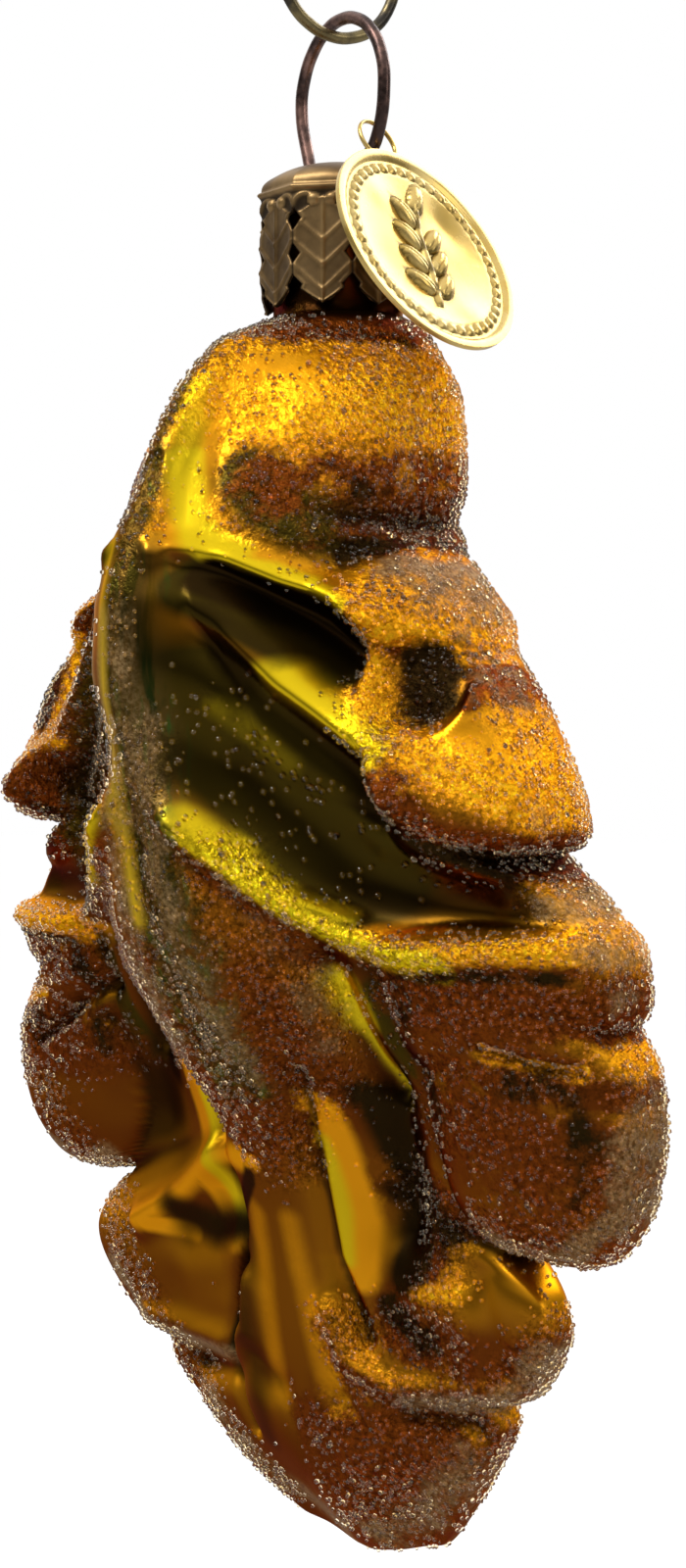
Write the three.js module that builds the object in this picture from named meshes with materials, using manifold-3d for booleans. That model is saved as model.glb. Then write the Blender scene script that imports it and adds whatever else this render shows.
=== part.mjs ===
// A hollow blown-glass oak leaf for a tree, with its stamped metal cap, wire hanger, brass tag
// and the S-shaped wire hook that it hangs on. Millimetres, +Z up.
// The origin is where a twig bears inside the hook's upper bend. The leaf's front faces -Y.
import * as THREE from "three";
import { mergeVertices } from "three/addons/utils/BufferGeometryUtils.js";
import Module from "manifold-3d";

const wasm = await Module();
wasm.setup();

// Glass leaf
const leafLength = 88;
const leafHalfWidth = 29.2;
const leafDepth = 26.9;
const leafRelief = 1;
const glassWall = 1;
const neckRadius = 4.55;

// Stamped cap: eight flat leaf-shaped tabs under a domed crown
const capSheet = 0.3;
const capSkirt = 8.2;
const capDome = 2.1;
const capTipDrop = 0.1;
const rimBead = 0.25;
const yaw = THREE.MathUtils.degToRad(-15);

// Hanger wire: a ring above the cap whose two legs spring apart inside the neck
const wireDiameter = 0.9;
const ringRadius = 5.3;
const ringAboveDome = 4.8;
const ringLean = 0.5;
const ringWaistShare = 0.82;
const legSplay = 4.4;
const legDrop = 5;
const legKnee = 0.25;
const wireHoleOutset = 0.45;
const wireHoleDiameter = 1.7;

// Brass tag: a disc with an ear that is threaded on the ring
const tagRadius = 8;
const tagSheet = 0.35;
const tagReach = 9.05;
const earRadius = 1.75;
const earHoleRadius = 1.3;
const earHang = 0.2;
const earDrop = 3.8;
const tagLean = THREE.MathUtils.degToRad(28);

// Hook
const hookDiameter = 0.85;
const hookLowerRadius = 4.8;
const hookUpperRadius = 6.5;
const hookHeight = 32;
const lowerBendDegrees = [150, 375];
const upperBendDegrees = [200, -35];

// Clearances
const fitGap = 0.3;
const restGap = 0.3;

// Values that follow from the sizes above
const capInside = neckRadius + fitGap;
const capApothem = capInside + capSheet;
const capCorner = capApothem / Math.cos(Math.PI / 8);
const capTop = capSkirt + capDome;
const domeOverNeck = capDome * Math.sqrt(1 - (neckRadius / capInside) ** 2);
const neckHeight = capSkirt - capSheet + domeOverNeck - restGap;
const legRadius = neckRadius - glassWall - wireDiameter / 2 - fitGap;
const wireHoleRadius = legRadius + wireHoleOutset;
const ringCentre = capTop + ringAboveDome;
const ringTop = ringCentre + ringRadius;
const ringWaist = ringWaistShare * ringRadius;
const earPoint = { x: ringLean + ringWaist, z: ringCentre - earDrop };
const hookBottom = ringTop - wireDiameter / 2 - restGap - hookDiameter / 2;
const hangPoint = hookBottom + hookHeight - hookDiameter / 2;

// Smooth curve through a few points, with no overshoot between them.
function through(points, at) {
  const last = points.length - 1;
  if (at <= points[0][0]) return points[0][1];
  if (at >= points[last][0]) return points[last][1];
  let i = 0;
  while (points[i + 1][0] < at) i++;
  const rise = (k) => (points[k + 1][1] - points[k][1]) / (points[k + 1][0] - points[k][0]);
  const lean = (k) => {
    if (k === 0) return rise(0);
    if (k === last) return rise(last - 1);
    const [before, after] = [rise(k - 1), rise(k)];
    return before * after <= 0 ? 0 : (2 * before * after) / (before + after);
  };
  const span = points[i + 1][0] - points[i][0];
  const t = (at - points[i][0]) / span;
  const [a, b] = [points[i][1], points[i + 1][1]];
  const [p, q] = [lean(i) * span, lean(i + 1) * span];
  return a + t * (p + t * (3 * (b - a) - 2 * p - q + t * (2 * (a - b) + p + q)));
}

function ease(from, to, at) {
  const t = THREE.MathUtils.clamp((at - from) / (to - from), 0, 1);
  return t * t * (3 - 2 * t);
}

function softMax(a, b, blend) {
  const h = THREE.MathUtils.clamp(0.5 + (0.5 * (a - b)) / blend, 0, 1);
  return b + (a - b) * h + blend * h * (1 - h);
}

// Distance from (x, h) to a chain of straight runs.
function distanceTo(run, x, h) {
  let best = Infinity;
  for (let i = 0; i + 1 < run.length; i++) {
    const [ax, ah] = run[i];
    const [dx, dh] = [run[i + 1][0] - ax, run[i + 1][1] - ah];
    const along = ((x - ax) * dx + (h - ah) * dh) / (dx * dx + dh * dh);
    const t = THREE.MathUtils.clamp(along, 0, 1);
    best = Math.min(best, Math.hypot(x - ax - t * dx, h - ah - t * dh));
  }
  return best;
}

// The leaf's drawing. x runs out from the midrib, h down from the neck. Rows slope down at the veins'
// angle. The sizes above stretch the drawing to the real leaf.
const veinSlope = 0.35;

// Reach of the rim from the midrib along the slope, without the notches between the lobes.
const outline = [
  [0.4, 4.55], [1.4, 6.4], [3.5, 9.4], [8.4, 11.3], [12.4, 13.9], [16.3, 17.4], [19.5, 20.6], [23.7, 23.2],
  [30, 26.4], [34.3, 28.6], [44, 29.2], [50, 28.2], [56.8, 23.9], [58.8, 20.8], [62, 20.6], [66.5, 18.4],
  [74, 13.4], [80.5, 9.4], [84, 7], [86.4, 4.6], [87.5, 2.6], [88, 0],
];
const notches = [
  { at: 12.4, deep: 3.6, reach: 2.0 },
  { at: 18.0, deep: 1.2, reach: 1.3 },
  { at: 30.2, deep: 5.0, reach: 1.4 },
  { at: 39.3, deep: 1.8, reach: 1.4 },
  { at: 57.8, deep: 4.6, reach: 1.2 },
  { at: 70.0, deep: 1.9, reach: 1.2 },
];

// How much further the rim reaches on the left half, and how much higher its forms lie.
const leftChange = [
  [0, 0], [13, -0.3], [15.5, -2], [19, -2], [24, -2.4], [27, -3.3], [31, -4.2], [35, -5], [39, -4.8],
  [43, -2.6], [47, -1.6], [50, -1.4], [53, -0.8], [56, 0.8], [60, 1.4], [70, 2], [80, 0.6], [88, 0],
];
const leftRise = [[0, 0], [38, 0], [46, 1.2], [58, 2.4], [70, 1.2], [88, 0]];

// Depth in y of the front's midrib, the front and back of the edge, and the back's midrib.
const frontRidge = [
  [0.4, -4.55], [1.2, -7.2], [2.2, -9.8], [3.5, -11.9], [5.6, -13.7], [7.6, -14.9], [9.7, -16], [13.6, -18],
  [17.5, -19.9], [21.4, -20.9], [26.5, -20.9], [33, -19.3], [36, -18.4], [42.6, -16.5], [47.6, -13.9],
  [52, -11], [58, -7.8], [66, -6], [75, -3.8], [82, -1], [88, 2.2],
];
const frontEdge = [
  [0.4, -1], [4, -2.6], [10, -4], [20, -7.8], [35, -10], [45, -7.8], [55, -5.3], [65, -4.4], [75, -1.6],
  [82, 0.8], [88, 2.4],
];
const backEdge = [
  [0.4, 1], [4, 1.5], [10, 0.6], [20, -2.6], [35, -2.4], [45, -0.8], [55, 0.2], [65, 0.4], [75, 2.4],
  [82, 4.2], [88, 4.8],
];
const backRidge = [[0.4, 4.55], [4, 5.5], [12, 6], [60, 5.6], [75, 5.6], [88, 5.6]];

const [shoulderRow, drawnNeckRadius] = outline[0];
const drawnLength = outline[outline.length - 1][0];
const drawnHalfWidth = Math.max(...outline.map(([, width]) => width));
const drawnDepth = Math.max(...backRidge.map(([, y]) => y)) - Math.min(...frontRidge.map(([, y]) => y));

// Puffed lobes: centre, reach across and down, turn, height, how square the outline is, how boldly the
// side rises, and how softly it melts into the rest.
const pillows = [
  { x: 9.2, h: 10.3, across: 6.2, down: 8.2, turn: 0, high: 3.3, square: 2, bold: 0.9, melt: 2.6 },
  { x: 15.2, h: 21.2, across: 5.0, down: 3.9, turn: 0.35, high: 2.9, square: 2.4, bold: 0.8, melt: 1.5 },
  { x: 19.3, h: 27.4, across: 5.2, down: 9.4, turn: -0.5, high: 3.0, square: 2.3, bold: 0.8, melt: 1.8 },
  { x: 20.4, h: 34.0, across: 6.0, down: 5.1, turn: 0.3, high: 4.5, square: 2.2, bold: 0.7, melt: 1.4 },
  { x: 22.2, h: 47.2, across: 8.6, down: 5.3, turn: 0, high: 2.9, square: 4, bold: 0.4, melt: 0.6 },
  { x: 22.2, h: 56.2, across: 8.1, down: 7.5, turn: 0, high: 3.2, square: 2.8, bold: 0.42, melt: 0.7 },
  { x: 4.6, h: 44.5, across: 5.2, down: 10, turn: -0.12, high: 1.3, square: 2.4, bold: 0.8, melt: 1.2 },
  { x: 13.4, h: 70.0, across: 8.2, down: 5.2, turn: 0, high: 1.8, square: 2.2, bold: 0.9, melt: 1.6 },
  { x: 8.0, h: 79.8, across: 6.6, down: 5.4, turn: 0.45, high: 1.8, square: 2.2, bold: 0.7, melt: 1.2 },
];

// Raised veins and sunk creases: the half that has it (both where none is named), the line, the half
// breadth and the height, which is below 0 in a crease.
const veins = [
  { run: [[2.2, 17.4], [5.6, 18.3], [8.5, 19.7], [12.1, 20.8], [14.6, 22.2]], broad: 0.9, high: 1.8 },
  {
    run: [[2.5, 18.5], [4.6, 20.4], [6.8, 23.1], [9.8, 26.4], [12.9, 28.9], [16.4, 31.4], [18, 33.5]],
    broad: 1.3, high: 2.2,
  },
  {
    run: [[1.5, 34.2], [4.5, 36.2], [7.6, 39.3], [9.8, 41.1], [12.4, 42.7], [16.4, 43.5], [28, 42.9]],
    broad: 1.2, high: 1.9,
  },
  { half: "left", run: [[1.2, 59], [5.8, 61.8], [10, 64.2], [15.1, 66.5]], broad: 1.1, high: 1.6 },
  { half: "right", run: [[13.4, 22.4], [14.2, 25.5], [14.8, 28.8]], broad: 1.6, high: 0.5 },
  { half: "right", run: [[14.4, 22.6], [16.5, 22.9], [19.4, 24]], broad: 1.4, high: 0.4 },
  { run: [[3.6, 69.1], [4.5, 72.5], [7.4, 74.2], [16.5, 73.6]], broad: 1.1, high: 1.1 },
  { run: [[4, 18.9], [8, 21.6], [12.4, 24.4]], broad: 1.6, high: -2.4 },
  { run: [[5.6, 23.6], [8.6, 27.4], [12.2, 31], [15.4, 34.4]], broad: 1.5, high: -0.9 },
  { run: [[4, 29.5], [8.4, 34.2], [13.5, 38.6], [20, 40.2]], broad: 2.6, high: -1.5 },
  { run: [[9.6, 44.9], [10, 48.5], [10.6, 53]], broad: 1.2, high: -1.9 },
  { half: "right", run: [[10.6, 53], [10.2, 58], [9.2, 63]], broad: 1.6, high: -1.2 },
  { half: "right", run: [[8.6, 56.5], [8.2, 62], [7.4, 66.5]], broad: 3.2, high: -1.1 },
  { half: "left", run: [[13.1, 48.5], [16.5, 50.1], [19.3, 52.1], [23, 54]], broad: 0.8, high: -1.4 },
  { half: "left", run: [[8.4, 51], [11, 56.1], [12.2, 59]], broad: 3, high: -1.2 },
  { half: "left", run: [[5, 65], [8.1, 67], [10.8, 67.4]], broad: 1.8, high: -1.1 },
  { half: "right", run: [[15.6, 66], [16.4, 69], [17.2, 71.6]], broad: 1.3, high: -0.6 },
  { run: [[6.5, 69.8], [12, 70.6]], broad: 2.2, high: -0.7 },
  { run: [[7.6, 76.2], [12.5, 76.4]], broad: 1, high: -0.8 },
  { run: [[10.4, 17.7], [11.8, 17.3]], broad: 0.9, high: -1.5 },
];
const pit = { x: 17.4, h: 26.5, across: 2.9, down: 3.3, turn: -0.1, deep: 2.6 };
const crestRadius = 2.4;
const midribHalfBreadth = [
  [0, 1.6], [8, 1.6], [12, 1.4], [15, 1.8], [18, 2.9], [21, 4], [24, 4.9], [30, 5.2], [50, 4.6], [60, 3.2],
  [88, 2.4],
];
const midribHeight = 1.1;
const midribRises = [2, 9];
const midribFades = [66, 52];
const bellyHeight = 1.6;
const backReliefShare = 0.5;
const sideRoundness = 0.8;
const rimRoundness = 0.42;

// left is 1 on the leaf's left half and 0 on its right half.
function halfWidth(row, left) {
  const drawn = row + left * through(leftRise, row);
  const cut = (n) => n.deep * Math.exp(-(Math.abs((drawn - n.at) / n.reach) ** 1.4));
  const width = notches.reduce((sum, n) => sum - cut(n), through(outline, drawn));
  return width + left * through(leftChange, row);
}

// How far (x, h) is from the middle of a turned, squared oval: 1 on the oval itself.
function away(oval, x, h, square) {
  const [c, s] = [Math.cos(oval.turn), Math.sin(oval.turn)];
  const a = Math.abs(((x - oval.x) * c + (h - oval.h) * s) / oval.across);
  const b = Math.abs((-(x - oval.x) * s + (h - oval.h) * c) / oval.down);
  return a ** square + b ** square;
}

// How far a puffed lobe lifts the surface, and how steeply it falls away outside itself.
function puff(p, x, h) {
  const out = away(p, x, h, p.square) ** (2 / p.square);
  return p.high * Math.max(1 - out, 0) ** p.bold - Math.max(out - 1, 0);
}

// y of the front or back surface. side is -1 on the front and 1 on the back.
function face(side, at, depth) {
  const front = side < 0;
  const strength = leafRelief * (front ? 1 : backReliefShare);
  const left = ease(0.5, 5, -at);
  const x = Math.abs(at);
  const row = depth - veinSlope * x;
  const reach = Math.max(through(outline, row) + left * through(leftChange, row), 1);
  const share = Math.min((Math.hypot(x, crestRadius) - crestRadius) / reach, 1.2);
  const fall = front ? 0.75 + 0.17 * ease(12, 26, depth) : 1.2;
  const ridge = through(front ? frontRidge : backRidge, depth);
  const edge = through(front ? frontEdge : backEdge, depth);
  let out = side * (ridge + (edge - ridge) * share ** fall);
  if (front) out -= bellyHeight * Math.sin(Math.PI * Math.min(share, 1)) ** 1.5 * ease(14, 22, depth);
  const h = depth + left * through(leftRise, depth);
  const bare = out;
  for (const p of pillows) out = softMax(out, bare + strength * puff(p, x, h), p.melt);
  for (const v of veins) {
    const here = v.half === "left" ? left : v.half === "right" ? 1 - left : 1;
    const rooted = v.high > 0 ? ease(0.5, 4.5, x) : 1;
    out += strength * v.high * here * rooted * Math.exp(-((distanceTo(v.run, x, h) / v.broad) ** 2));
  }
  out -= strength * pit.deep * (1 - left) * ease(1.3, 0.1, away(pit, x, h, 3));
  const rib = ease(...midribRises, h) * ease(...midribFades, h);
  return side * (out + strength * midribHeight * rib * ease(1.3, 0.6, x / through(midribHalfBreadth, h)));
}

// A point of the glass: row counts down the slope, turn goes round from the leaf's right edge over
// the front, and inset is how far inside the outer skin it lies.
function glassPoint(row, turn, inset) {
  const neck = ease(3.2, shoulderRow, row);
  const [c, s] = [Math.cos(turn), Math.sin(turn)];
  const width = Math.max(halfWidth(row, ease(0, 0.2, -c)) - inset, 0.2);
  const out = width * Math.abs(c) ** sideRoundness;
  const slope = veinSlope * ease(shoulderRow, 9, row) * ease(drawnLength + 0.5, drawnLength - 4, row);
  const h = row + slope * (Math.hypot(out, 1) - 1);
  const [front, back] = [face(-1, Math.sign(c) * out, h), face(1, Math.sign(c) * out, h)];
  const closing = Math.sqrt(THREE.MathUtils.clamp((drawnLength - row) / 5, 0, 1));
  const half = Math.max((back - front) / 2 - 1.25 * inset, 0.15) * closing;
  const x = Math.sign(c) * THREE.MathUtils.lerp(out, width * Math.abs(c), neck);
  const rounded = (front + back) / 2 - half * Math.sign(s) * Math.abs(s) ** rimRoundness;
  const neckStretch = neckRadius / drawnNeckRadius;
  const across = THREE.MathUtils.lerp(leafHalfWidth / drawnHalfWidth, neckStretch, neck);
  const y = THREE.MathUtils.lerp(rounded * (leafDepth / drawnDepth), -width * s * neckStretch, neck);
  return new THREE.Vector3(x * across, y, (-h * leafLength) / drawnLength);
}

// A closed skin over rings of points, with the first and last ring closed by a fan.
function skin(rings) {
  const positions = [];
  const faces = [];
  const around = rings[0].length;
  for (const ring of rings) for (const p of ring) positions.push(p.x, p.y, p.z);
  for (let i = 0; i + 1 < rings.length; i++) {
    for (let j = 0; j < around; j++) {
      const [a, b] = [i * around + j, i * around + ((j + 1) % around)];
      faces.push(a, b, a + around, b, b + around, a + around);
    }
  }
  for (const end of [0, rings.length - 1]) {
    const middle = rings[end].reduce((sum, p) => sum.add(p), new THREE.Vector3()).divideScalar(around);
    const tip = positions.length / 3;
    positions.push(middle.x, middle.y, middle.z);
    for (let j = 0; j < around; j++) {
      const [a, b] = [end * around + j, end * around + ((j + 1) % around)];
      faces.push(...(end === 0 ? [tip, b, a] : [tip, a, b]));
    }
  }
  const geometry = new THREE.BufferGeometry();
  geometry.setAttribute("position", new THREE.Float32BufferAttribute(positions, 3));
  geometry.setIndex(faces);
  return geometry;
}

const glassFrontColumns = 40;
const glassBackColumns = 18;
const midribCrowding = 0.15;
const glassRows = 84;
const cavityRows = 20;
const cavityEnd = 85;

function glassTurns() {
  const turns = [];
  for (let i = 0; i < glassFrontColumns; i++) {
    const share = i / glassFrontColumns;
    turns.push(Math.PI * share + midribCrowding * Math.sin(2 * Math.PI * share));
  }
  for (let i = 0; i < glassBackColumns; i++) turns.push(Math.PI * (1 + i / glassBackColumns));
  return turns;
}

function glassLeaf() {
  const turns = glassTurns();
  const neckRing = (z, radius) =>
    turns.map((t) => new THREE.Vector3(radius * Math.cos(t), -radius * Math.sin(t), z));
  const bodyRing = (row, inset) => turns.map((t) => glassPoint(row, t, inset));
  const outer = [];
  for (let i = 0; i <= glassRows; i++) {
    const t = i / glassRows;
    outer.push(bodyRing(shoulderRow + (drawnLength - 0.1 - shoulderRow) * t, 0));
  }
  const inner = [];
  for (let i = 0; i <= cavityRows; i++) {
    inner.push(bodyRing(shoulderRow + ((cavityEnd - shoulderRow) * i) / cavityRows, glassWall));
  }
  const bore = neckRadius - glassWall;
  return skin([
    ...inner.reverse(),
    neckRing(neckHeight / 2, bore),
    neckRing(neckHeight, bore),
    neckRing(neckHeight, neckRadius),
    neckRing(neckHeight / 2, neckRadius),
    ...outer,
  ]);
}

// manifold-3d joins and cuts closed geometries.
function solidOf(geometry) {
  const bare = geometry.clone();
  bare.deleteAttribute("normal");
  bare.deleteAttribute("uv");
  const merged = mergeVertices(bare, 1e-4);
  const vertProperties = merged.attributes.position.array;
  const triVerts = new Uint32Array(merged.index.array);
  return new wasm.Manifold(new wasm.Mesh({ numProp: 3, vertProperties, triVerts }));
}

function geometryOf(solid) {
  const mesh = solid.getMesh();
  const geometry = new THREE.BufferGeometry();
  geometry.setAttribute("position", new THREE.Float32BufferAttribute(mesh.vertProperties, 3));
  geometry.setIndex(Array.from(mesh.triVerts));
  return geometry;
}

// Cap: an eight-sided lathe cup, with gaps cut at the corners so that each side is a leaf tab.
const gapHigh = { z: 5.8, halfWide: 0.5, halfTall: 0.85 };
const gapLow = { z: 3.4, halfWide: 0.45, halfTall: 0.6 };
const tabFork = 1.9;
const tabShoulder = 1.2;

function diamond(gap) {
  const [low, high] = [gap.z - gap.halfTall, gap.z + gap.halfTall];
  return [[0, low], [gap.halfWide, gap.z], [0, high], [-gap.halfWide, gap.z]];
}

// The fork narrows the tabs to points: it starts at tabFork and is a whole side wide below them.
function fork() {
  const side = capApothem * Math.tan(Math.PI / 8);
  const cheek = [side / 2, tabShoulder];
  const below = [2 * side, -capTipDrop - 1];
  return [[0, tabFork], [-cheek[0], cheek[1]], [-below[0], below[1]], below, cheek];
}

// A prism that points outwards through the skirt at the given angle round the cap.
function cutter(points, angle) {
  const shape = new THREE.Shape(points.map(([x, z]) => new THREE.Vector2(x, z)));
  const prism = new THREE.ExtrudeGeometry(shape, { depth: capCorner, bevelEnabled: false });
  prism.translate(0, 0, capApothem * 0.75);
  prism.rotateX(Math.PI / 2);
  prism.rotateZ(Math.PI);
  return solidOf(prism.rotateZ(angle + Math.PI / 2));
}

function cap() {
  const profile = [];
  const add = (apothem, z) => profile.push(new THREE.Vector2(apothem / Math.cos(Math.PI / 8), z));
  const domeSteps = 6;
  add(capInside, -capTipDrop);
  add(capApothem, -capTipDrop);
  add(capApothem, capSkirt - 2 * rimBead);
  add(capApothem + rimBead, capSkirt - rimBead);
  for (let i = 0; i < domeSteps; i++) {
    const t = (Math.PI / 2) * (i / domeSteps);
    add(capApothem * Math.cos(t), capSkirt + capDome * Math.sin(t));
  }
  profile.push(new THREE.Vector2(0, capTop));
  profile.push(new THREE.Vector2(0, capTop - capSheet));
  for (let i = domeSteps - 1; i >= 0; i--) {
    const t = (Math.PI / 2) * (i / domeSteps);
    add(capInside * Math.cos(t), capSkirt - capSheet + capDome * Math.sin(t));
  }
  add(capInside, -capTipDrop);
  const cup = new THREE.LatheGeometry(profile, 8, Math.PI / 8);
  cup.rotateX(Math.PI / 2);
  let solid = solidOf(cup);
  for (let i = 0; i < 8; i++) {
    const corner = (Math.PI / 4) * (i + 0.5);
    for (const points of [diamond(gapHigh), diamond(gapLow), fork()]) {
      solid = solid.subtract(cutter(points, corner));
    }
  }
  for (const side of [-1, 1]) {
    const hole = new THREE.CylinderGeometry(wireHoleDiameter / 2, wireHoleDiameter / 2, capDome * 2, 16);
    hole.rotateX(Math.PI / 2);
    hole.translate(side * wireHoleRadius, 0, capTop);
    solid = solid.subtract(solidOf(hole));
  }
  return geometryOf(solid);
}

// Tube of round wire along a smooth path that lies in the local x-z plane.
function wire(points, diameter, steps, sides) {
  const knots = points.map(([x, z]) => new THREE.Vector3(x, 0, z));
  const path = new THREE.CatmullRomCurve3(knots, false, "centripetal");
  const rim = [];
  for (let i = 0; i < sides; i++) {
    const a = (2 * Math.PI * i) / sides;
    rim.push(new THREE.Vector2((diameter / 2) * Math.cos(a), (diameter / 2) * Math.sin(a)));
  }
  return new THREE.ExtrudeGeometry(new THREE.Shape(rim), { steps, extrudePath: path, bevelEnabled: false });
}

function arc(centreX, centreZ, radius, [from, to], count) {
  const points = [];
  for (let i = 0; i <= count; i++) {
    const a = THREE.MathUtils.degToRad(from + ((to - from) * i) / count);
    points.push([centreX + radius * Math.cos(a), centreZ + radius * Math.sin(a)]);
  }
  return points;
}

function hangerWire() {
  const leg = (side) => [
    [side * legSplay, -legDrop],
    [side * (legRadius + legKnee), -legDrop / 3],
    [side * legRadius, neckHeight / 4],
    [side * legRadius, neckHeight],
    [side * wireHoleRadius, (capSkirt + 3 * capTop) / 4],
  ];
  const ring = arc(ringLean, ringCentre, ringRadius, [180, 0], 8);
  const waist = (side) => [ringLean + side * ringWaist, earPoint.z];
  return wire([...leg(-1), waist(-1), ...ring, waist(1), ...leg(1).reverse()], wireDiameter, 76, 10);
}

function hook() {
  const lower = arc(0, hookBottom + hookLowerRadius, hookLowerRadius, lowerBendDegrees, 10);
  const upper = arc(0, hookBottom + hookHeight - hookUpperRadius, hookUpperRadius, upperBendDegrees, 10);
  return wire([...lower, ...upper], hookDiameter, 80, 10);
}

// Tag: the disc and its ear are one blank of sheet.
function tag() {
  const shape = new THREE.Shape();
  const along = (tagReach ** 2 + tagRadius ** 2 - earRadius ** 2) / (2 * tagReach);
  const meet = Math.acos(along / tagRadius);
  const earMeet = Math.asin((tagRadius * Math.sin(meet)) / earRadius);
  const earFrom = -Math.PI / 2 + (along < tagReach ? earMeet : Math.PI - earMeet);
  shape.absarc(0, 0, tagRadius, Math.PI / 2 + meet, Math.PI / 2 - meet + 2 * Math.PI, false);
  shape.absarc(0, tagReach, earRadius, earFrom, Math.PI - earFrom, false);
  const hole = new THREE.Path();
  hole.absarc(0, tagReach, earHoleRadius, 0, 2 * Math.PI, true);
  shape.holes.push(hole);
  const blank = new THREE.ExtrudeGeometry(shape, { depth: tagSheet, bevelEnabled: false, curveSegments: 40 });
  return blank.translate(0, -tagReach, -tagSheet / 2);
}

function finish(colour, roughness, metalness) {
  return new THREE.MeshStandardMaterial({ color: colour, roughness, metalness });
}

function piece(name, geometry, material) {
  const mesh = new THREE.Mesh(geometry, material);
  mesh.name = name;
  return mesh;
}

const ornament = new THREE.Group();
ornament.position.z = -hangPoint;
ornament.add(piece("glass_leaf", glassLeaf(), finish(0xa86a14, 0.25, 0.6)));

const top = new THREE.Group();
top.rotation.z = yaw;
top.add(piece("cap", cap(), finish(0x8c7453, 0.45, 0.9)));
top.add(piece("hanger_wire", hangerWire(), finish(0x5a4036, 0.35, 0.9)));
ornament.add(top);

// The tag hangs from the ring's wire by its ear and leans out over the cap.
const tagPivot = new THREE.Group();
const earWorld = new THREE.Vector3(earPoint.x, 0, earPoint.z).applyAxisAngle(new THREE.Vector3(0, 0, 1), yaw);
const upInSheet = new THREE.Vector3(-Math.sin(tagLean), 0, Math.cos(tagLean));
const outOfSheet = new THREE.Vector3(Math.cos(tagLean), 0, Math.sin(tagLean));
const acrossSheet = new THREE.Vector3().crossVectors(upInSheet, outOfSheet);
tagPivot.position.copy(earWorld).addScaledVector(upInSheet, -earHang);
tagPivot.quaternion.setFromRotationMatrix(new THREE.Matrix4().makeBasis(acrossSheet, upInSheet, outOfSheet));
tagPivot.add(piece("tag", tag(), finish(0xd9c25a, 0.3, 1)));
ornament.add(tagPivot);

const hookTurn = new THREE.Group();
hookTurn.rotation.z = yaw + Math.PI / 2;
hookTurn.add(piece("ornament_hook", hook(), finish(0x6b5f45, 0.35, 0.9)));
ornament.add(hookTurn);

const part = new THREE.Group();
part.add(ornament);

export default part;
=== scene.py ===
# Oak leaf ornament: blown glass, stamped cap, wire hanger, brass tag and wire hook.
import math

import bmesh
import bpy
import numpy as np
from mathutils import Matrix, Vector


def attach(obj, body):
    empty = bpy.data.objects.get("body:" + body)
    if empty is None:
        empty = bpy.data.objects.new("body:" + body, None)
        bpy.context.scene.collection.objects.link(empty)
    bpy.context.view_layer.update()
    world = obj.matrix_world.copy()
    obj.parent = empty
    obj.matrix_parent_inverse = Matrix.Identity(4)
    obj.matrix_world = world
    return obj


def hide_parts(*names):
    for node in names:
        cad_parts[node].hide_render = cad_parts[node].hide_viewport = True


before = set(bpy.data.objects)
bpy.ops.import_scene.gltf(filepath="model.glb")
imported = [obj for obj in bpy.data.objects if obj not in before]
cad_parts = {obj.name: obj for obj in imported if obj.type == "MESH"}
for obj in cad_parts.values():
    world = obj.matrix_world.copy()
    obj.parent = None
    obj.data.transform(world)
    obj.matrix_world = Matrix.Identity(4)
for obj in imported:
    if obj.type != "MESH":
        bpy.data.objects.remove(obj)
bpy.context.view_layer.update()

# The view: a camera near the leaf and a little to its right, level with its middle. Everything hangs
# from the hook, so heights are counted from the foot of the glass neck and then dropped.
mm = 0.001
neck_drop = 50.8
view_turn = math.radians(42)
view_distance = 200
view_shift = 0.345
view_height = -33.1
view_rise = 3
picture_height = 110.345

across = Vector((math.cos(view_turn), math.sin(view_turn), 0))
towards = Vector((math.sin(view_turn), -math.cos(view_turn), 0))
aim = across * view_shift + Vector((0, 0, view_height - neck_drop))
eye = aim + towards * view_distance + Vector((0, 0, view_rise))

camera_data = bpy.data.cameras.new("camera")
camera_data.sensor_fit = "VERTICAL"
camera_data.sensor_height = 24
camera_data.lens = camera_data.sensor_height * (eye - aim).length / picture_height
camera_data.clip_start = 0.005
camera = bpy.data.objects.new("camera", camera_data)
camera.matrix_world = Matrix.Translation(eye * mm) @ (aim - eye).to_track_quat("-Z", "Y").to_matrix().to_4x4()
bpy.context.scene.collection.objects.link(camera)
bpy.context.scene.camera = camera
bpy.context.scene.view_settings.view_transform = "Standard"

# The studio: a pale floor under the hanging leaf, a white surround and three soft lamps.
floor_drop = 145
floor_half = 2.5
surround_light = 0.42


def make_piece(bm, name):
    """Makes a bmesh an object at the origin, with its faces shaded smooth."""
    for face in bm.faces:
        face.smooth = True
    mesh = bpy.data.meshes.new(name)
    bm.to_mesh(mesh)
    bm.free()
    piece = bpy.data.objects.new(name, mesh)
    bpy.context.scene.collection.objects.link(piece)
    return piece


def light_seen_as_background(tree):
    """1 on rays from the camera or through glass, which see the floor as white, and 0.15 off metal."""
    rays = tree.nodes.new("ShaderNodeLightPath")
    total = rays.outputs["Is Camera Ray"]
    for name, share in (("Is Transmission Ray", 1), ("Is Glossy Ray", 0.15)):
        add = tree.nodes.new("ShaderNodeMath")
        add.operation = "MULTIPLY_ADD"
        tree.links.new(rays.outputs[name], add.inputs[0])
        add.inputs[1].default_value = share
        tree.links.new(total, add.inputs[2])
        total = add.outputs[0]
    return total


world = bpy.data.worlds.new("surround")
world.use_nodes = True
bpy.context.scene.world = world
sky = world.node_tree.nodes["Background"]
sky.inputs["Color"].default_value = (1, 1, 1, 1)
room = world.node_tree.nodes
wires = world.node_tree.links
ray = room.new("ShaderNodeLightPath")
direction = room.new("ShaderNodeTexCoord").outputs["Generated"]


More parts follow.
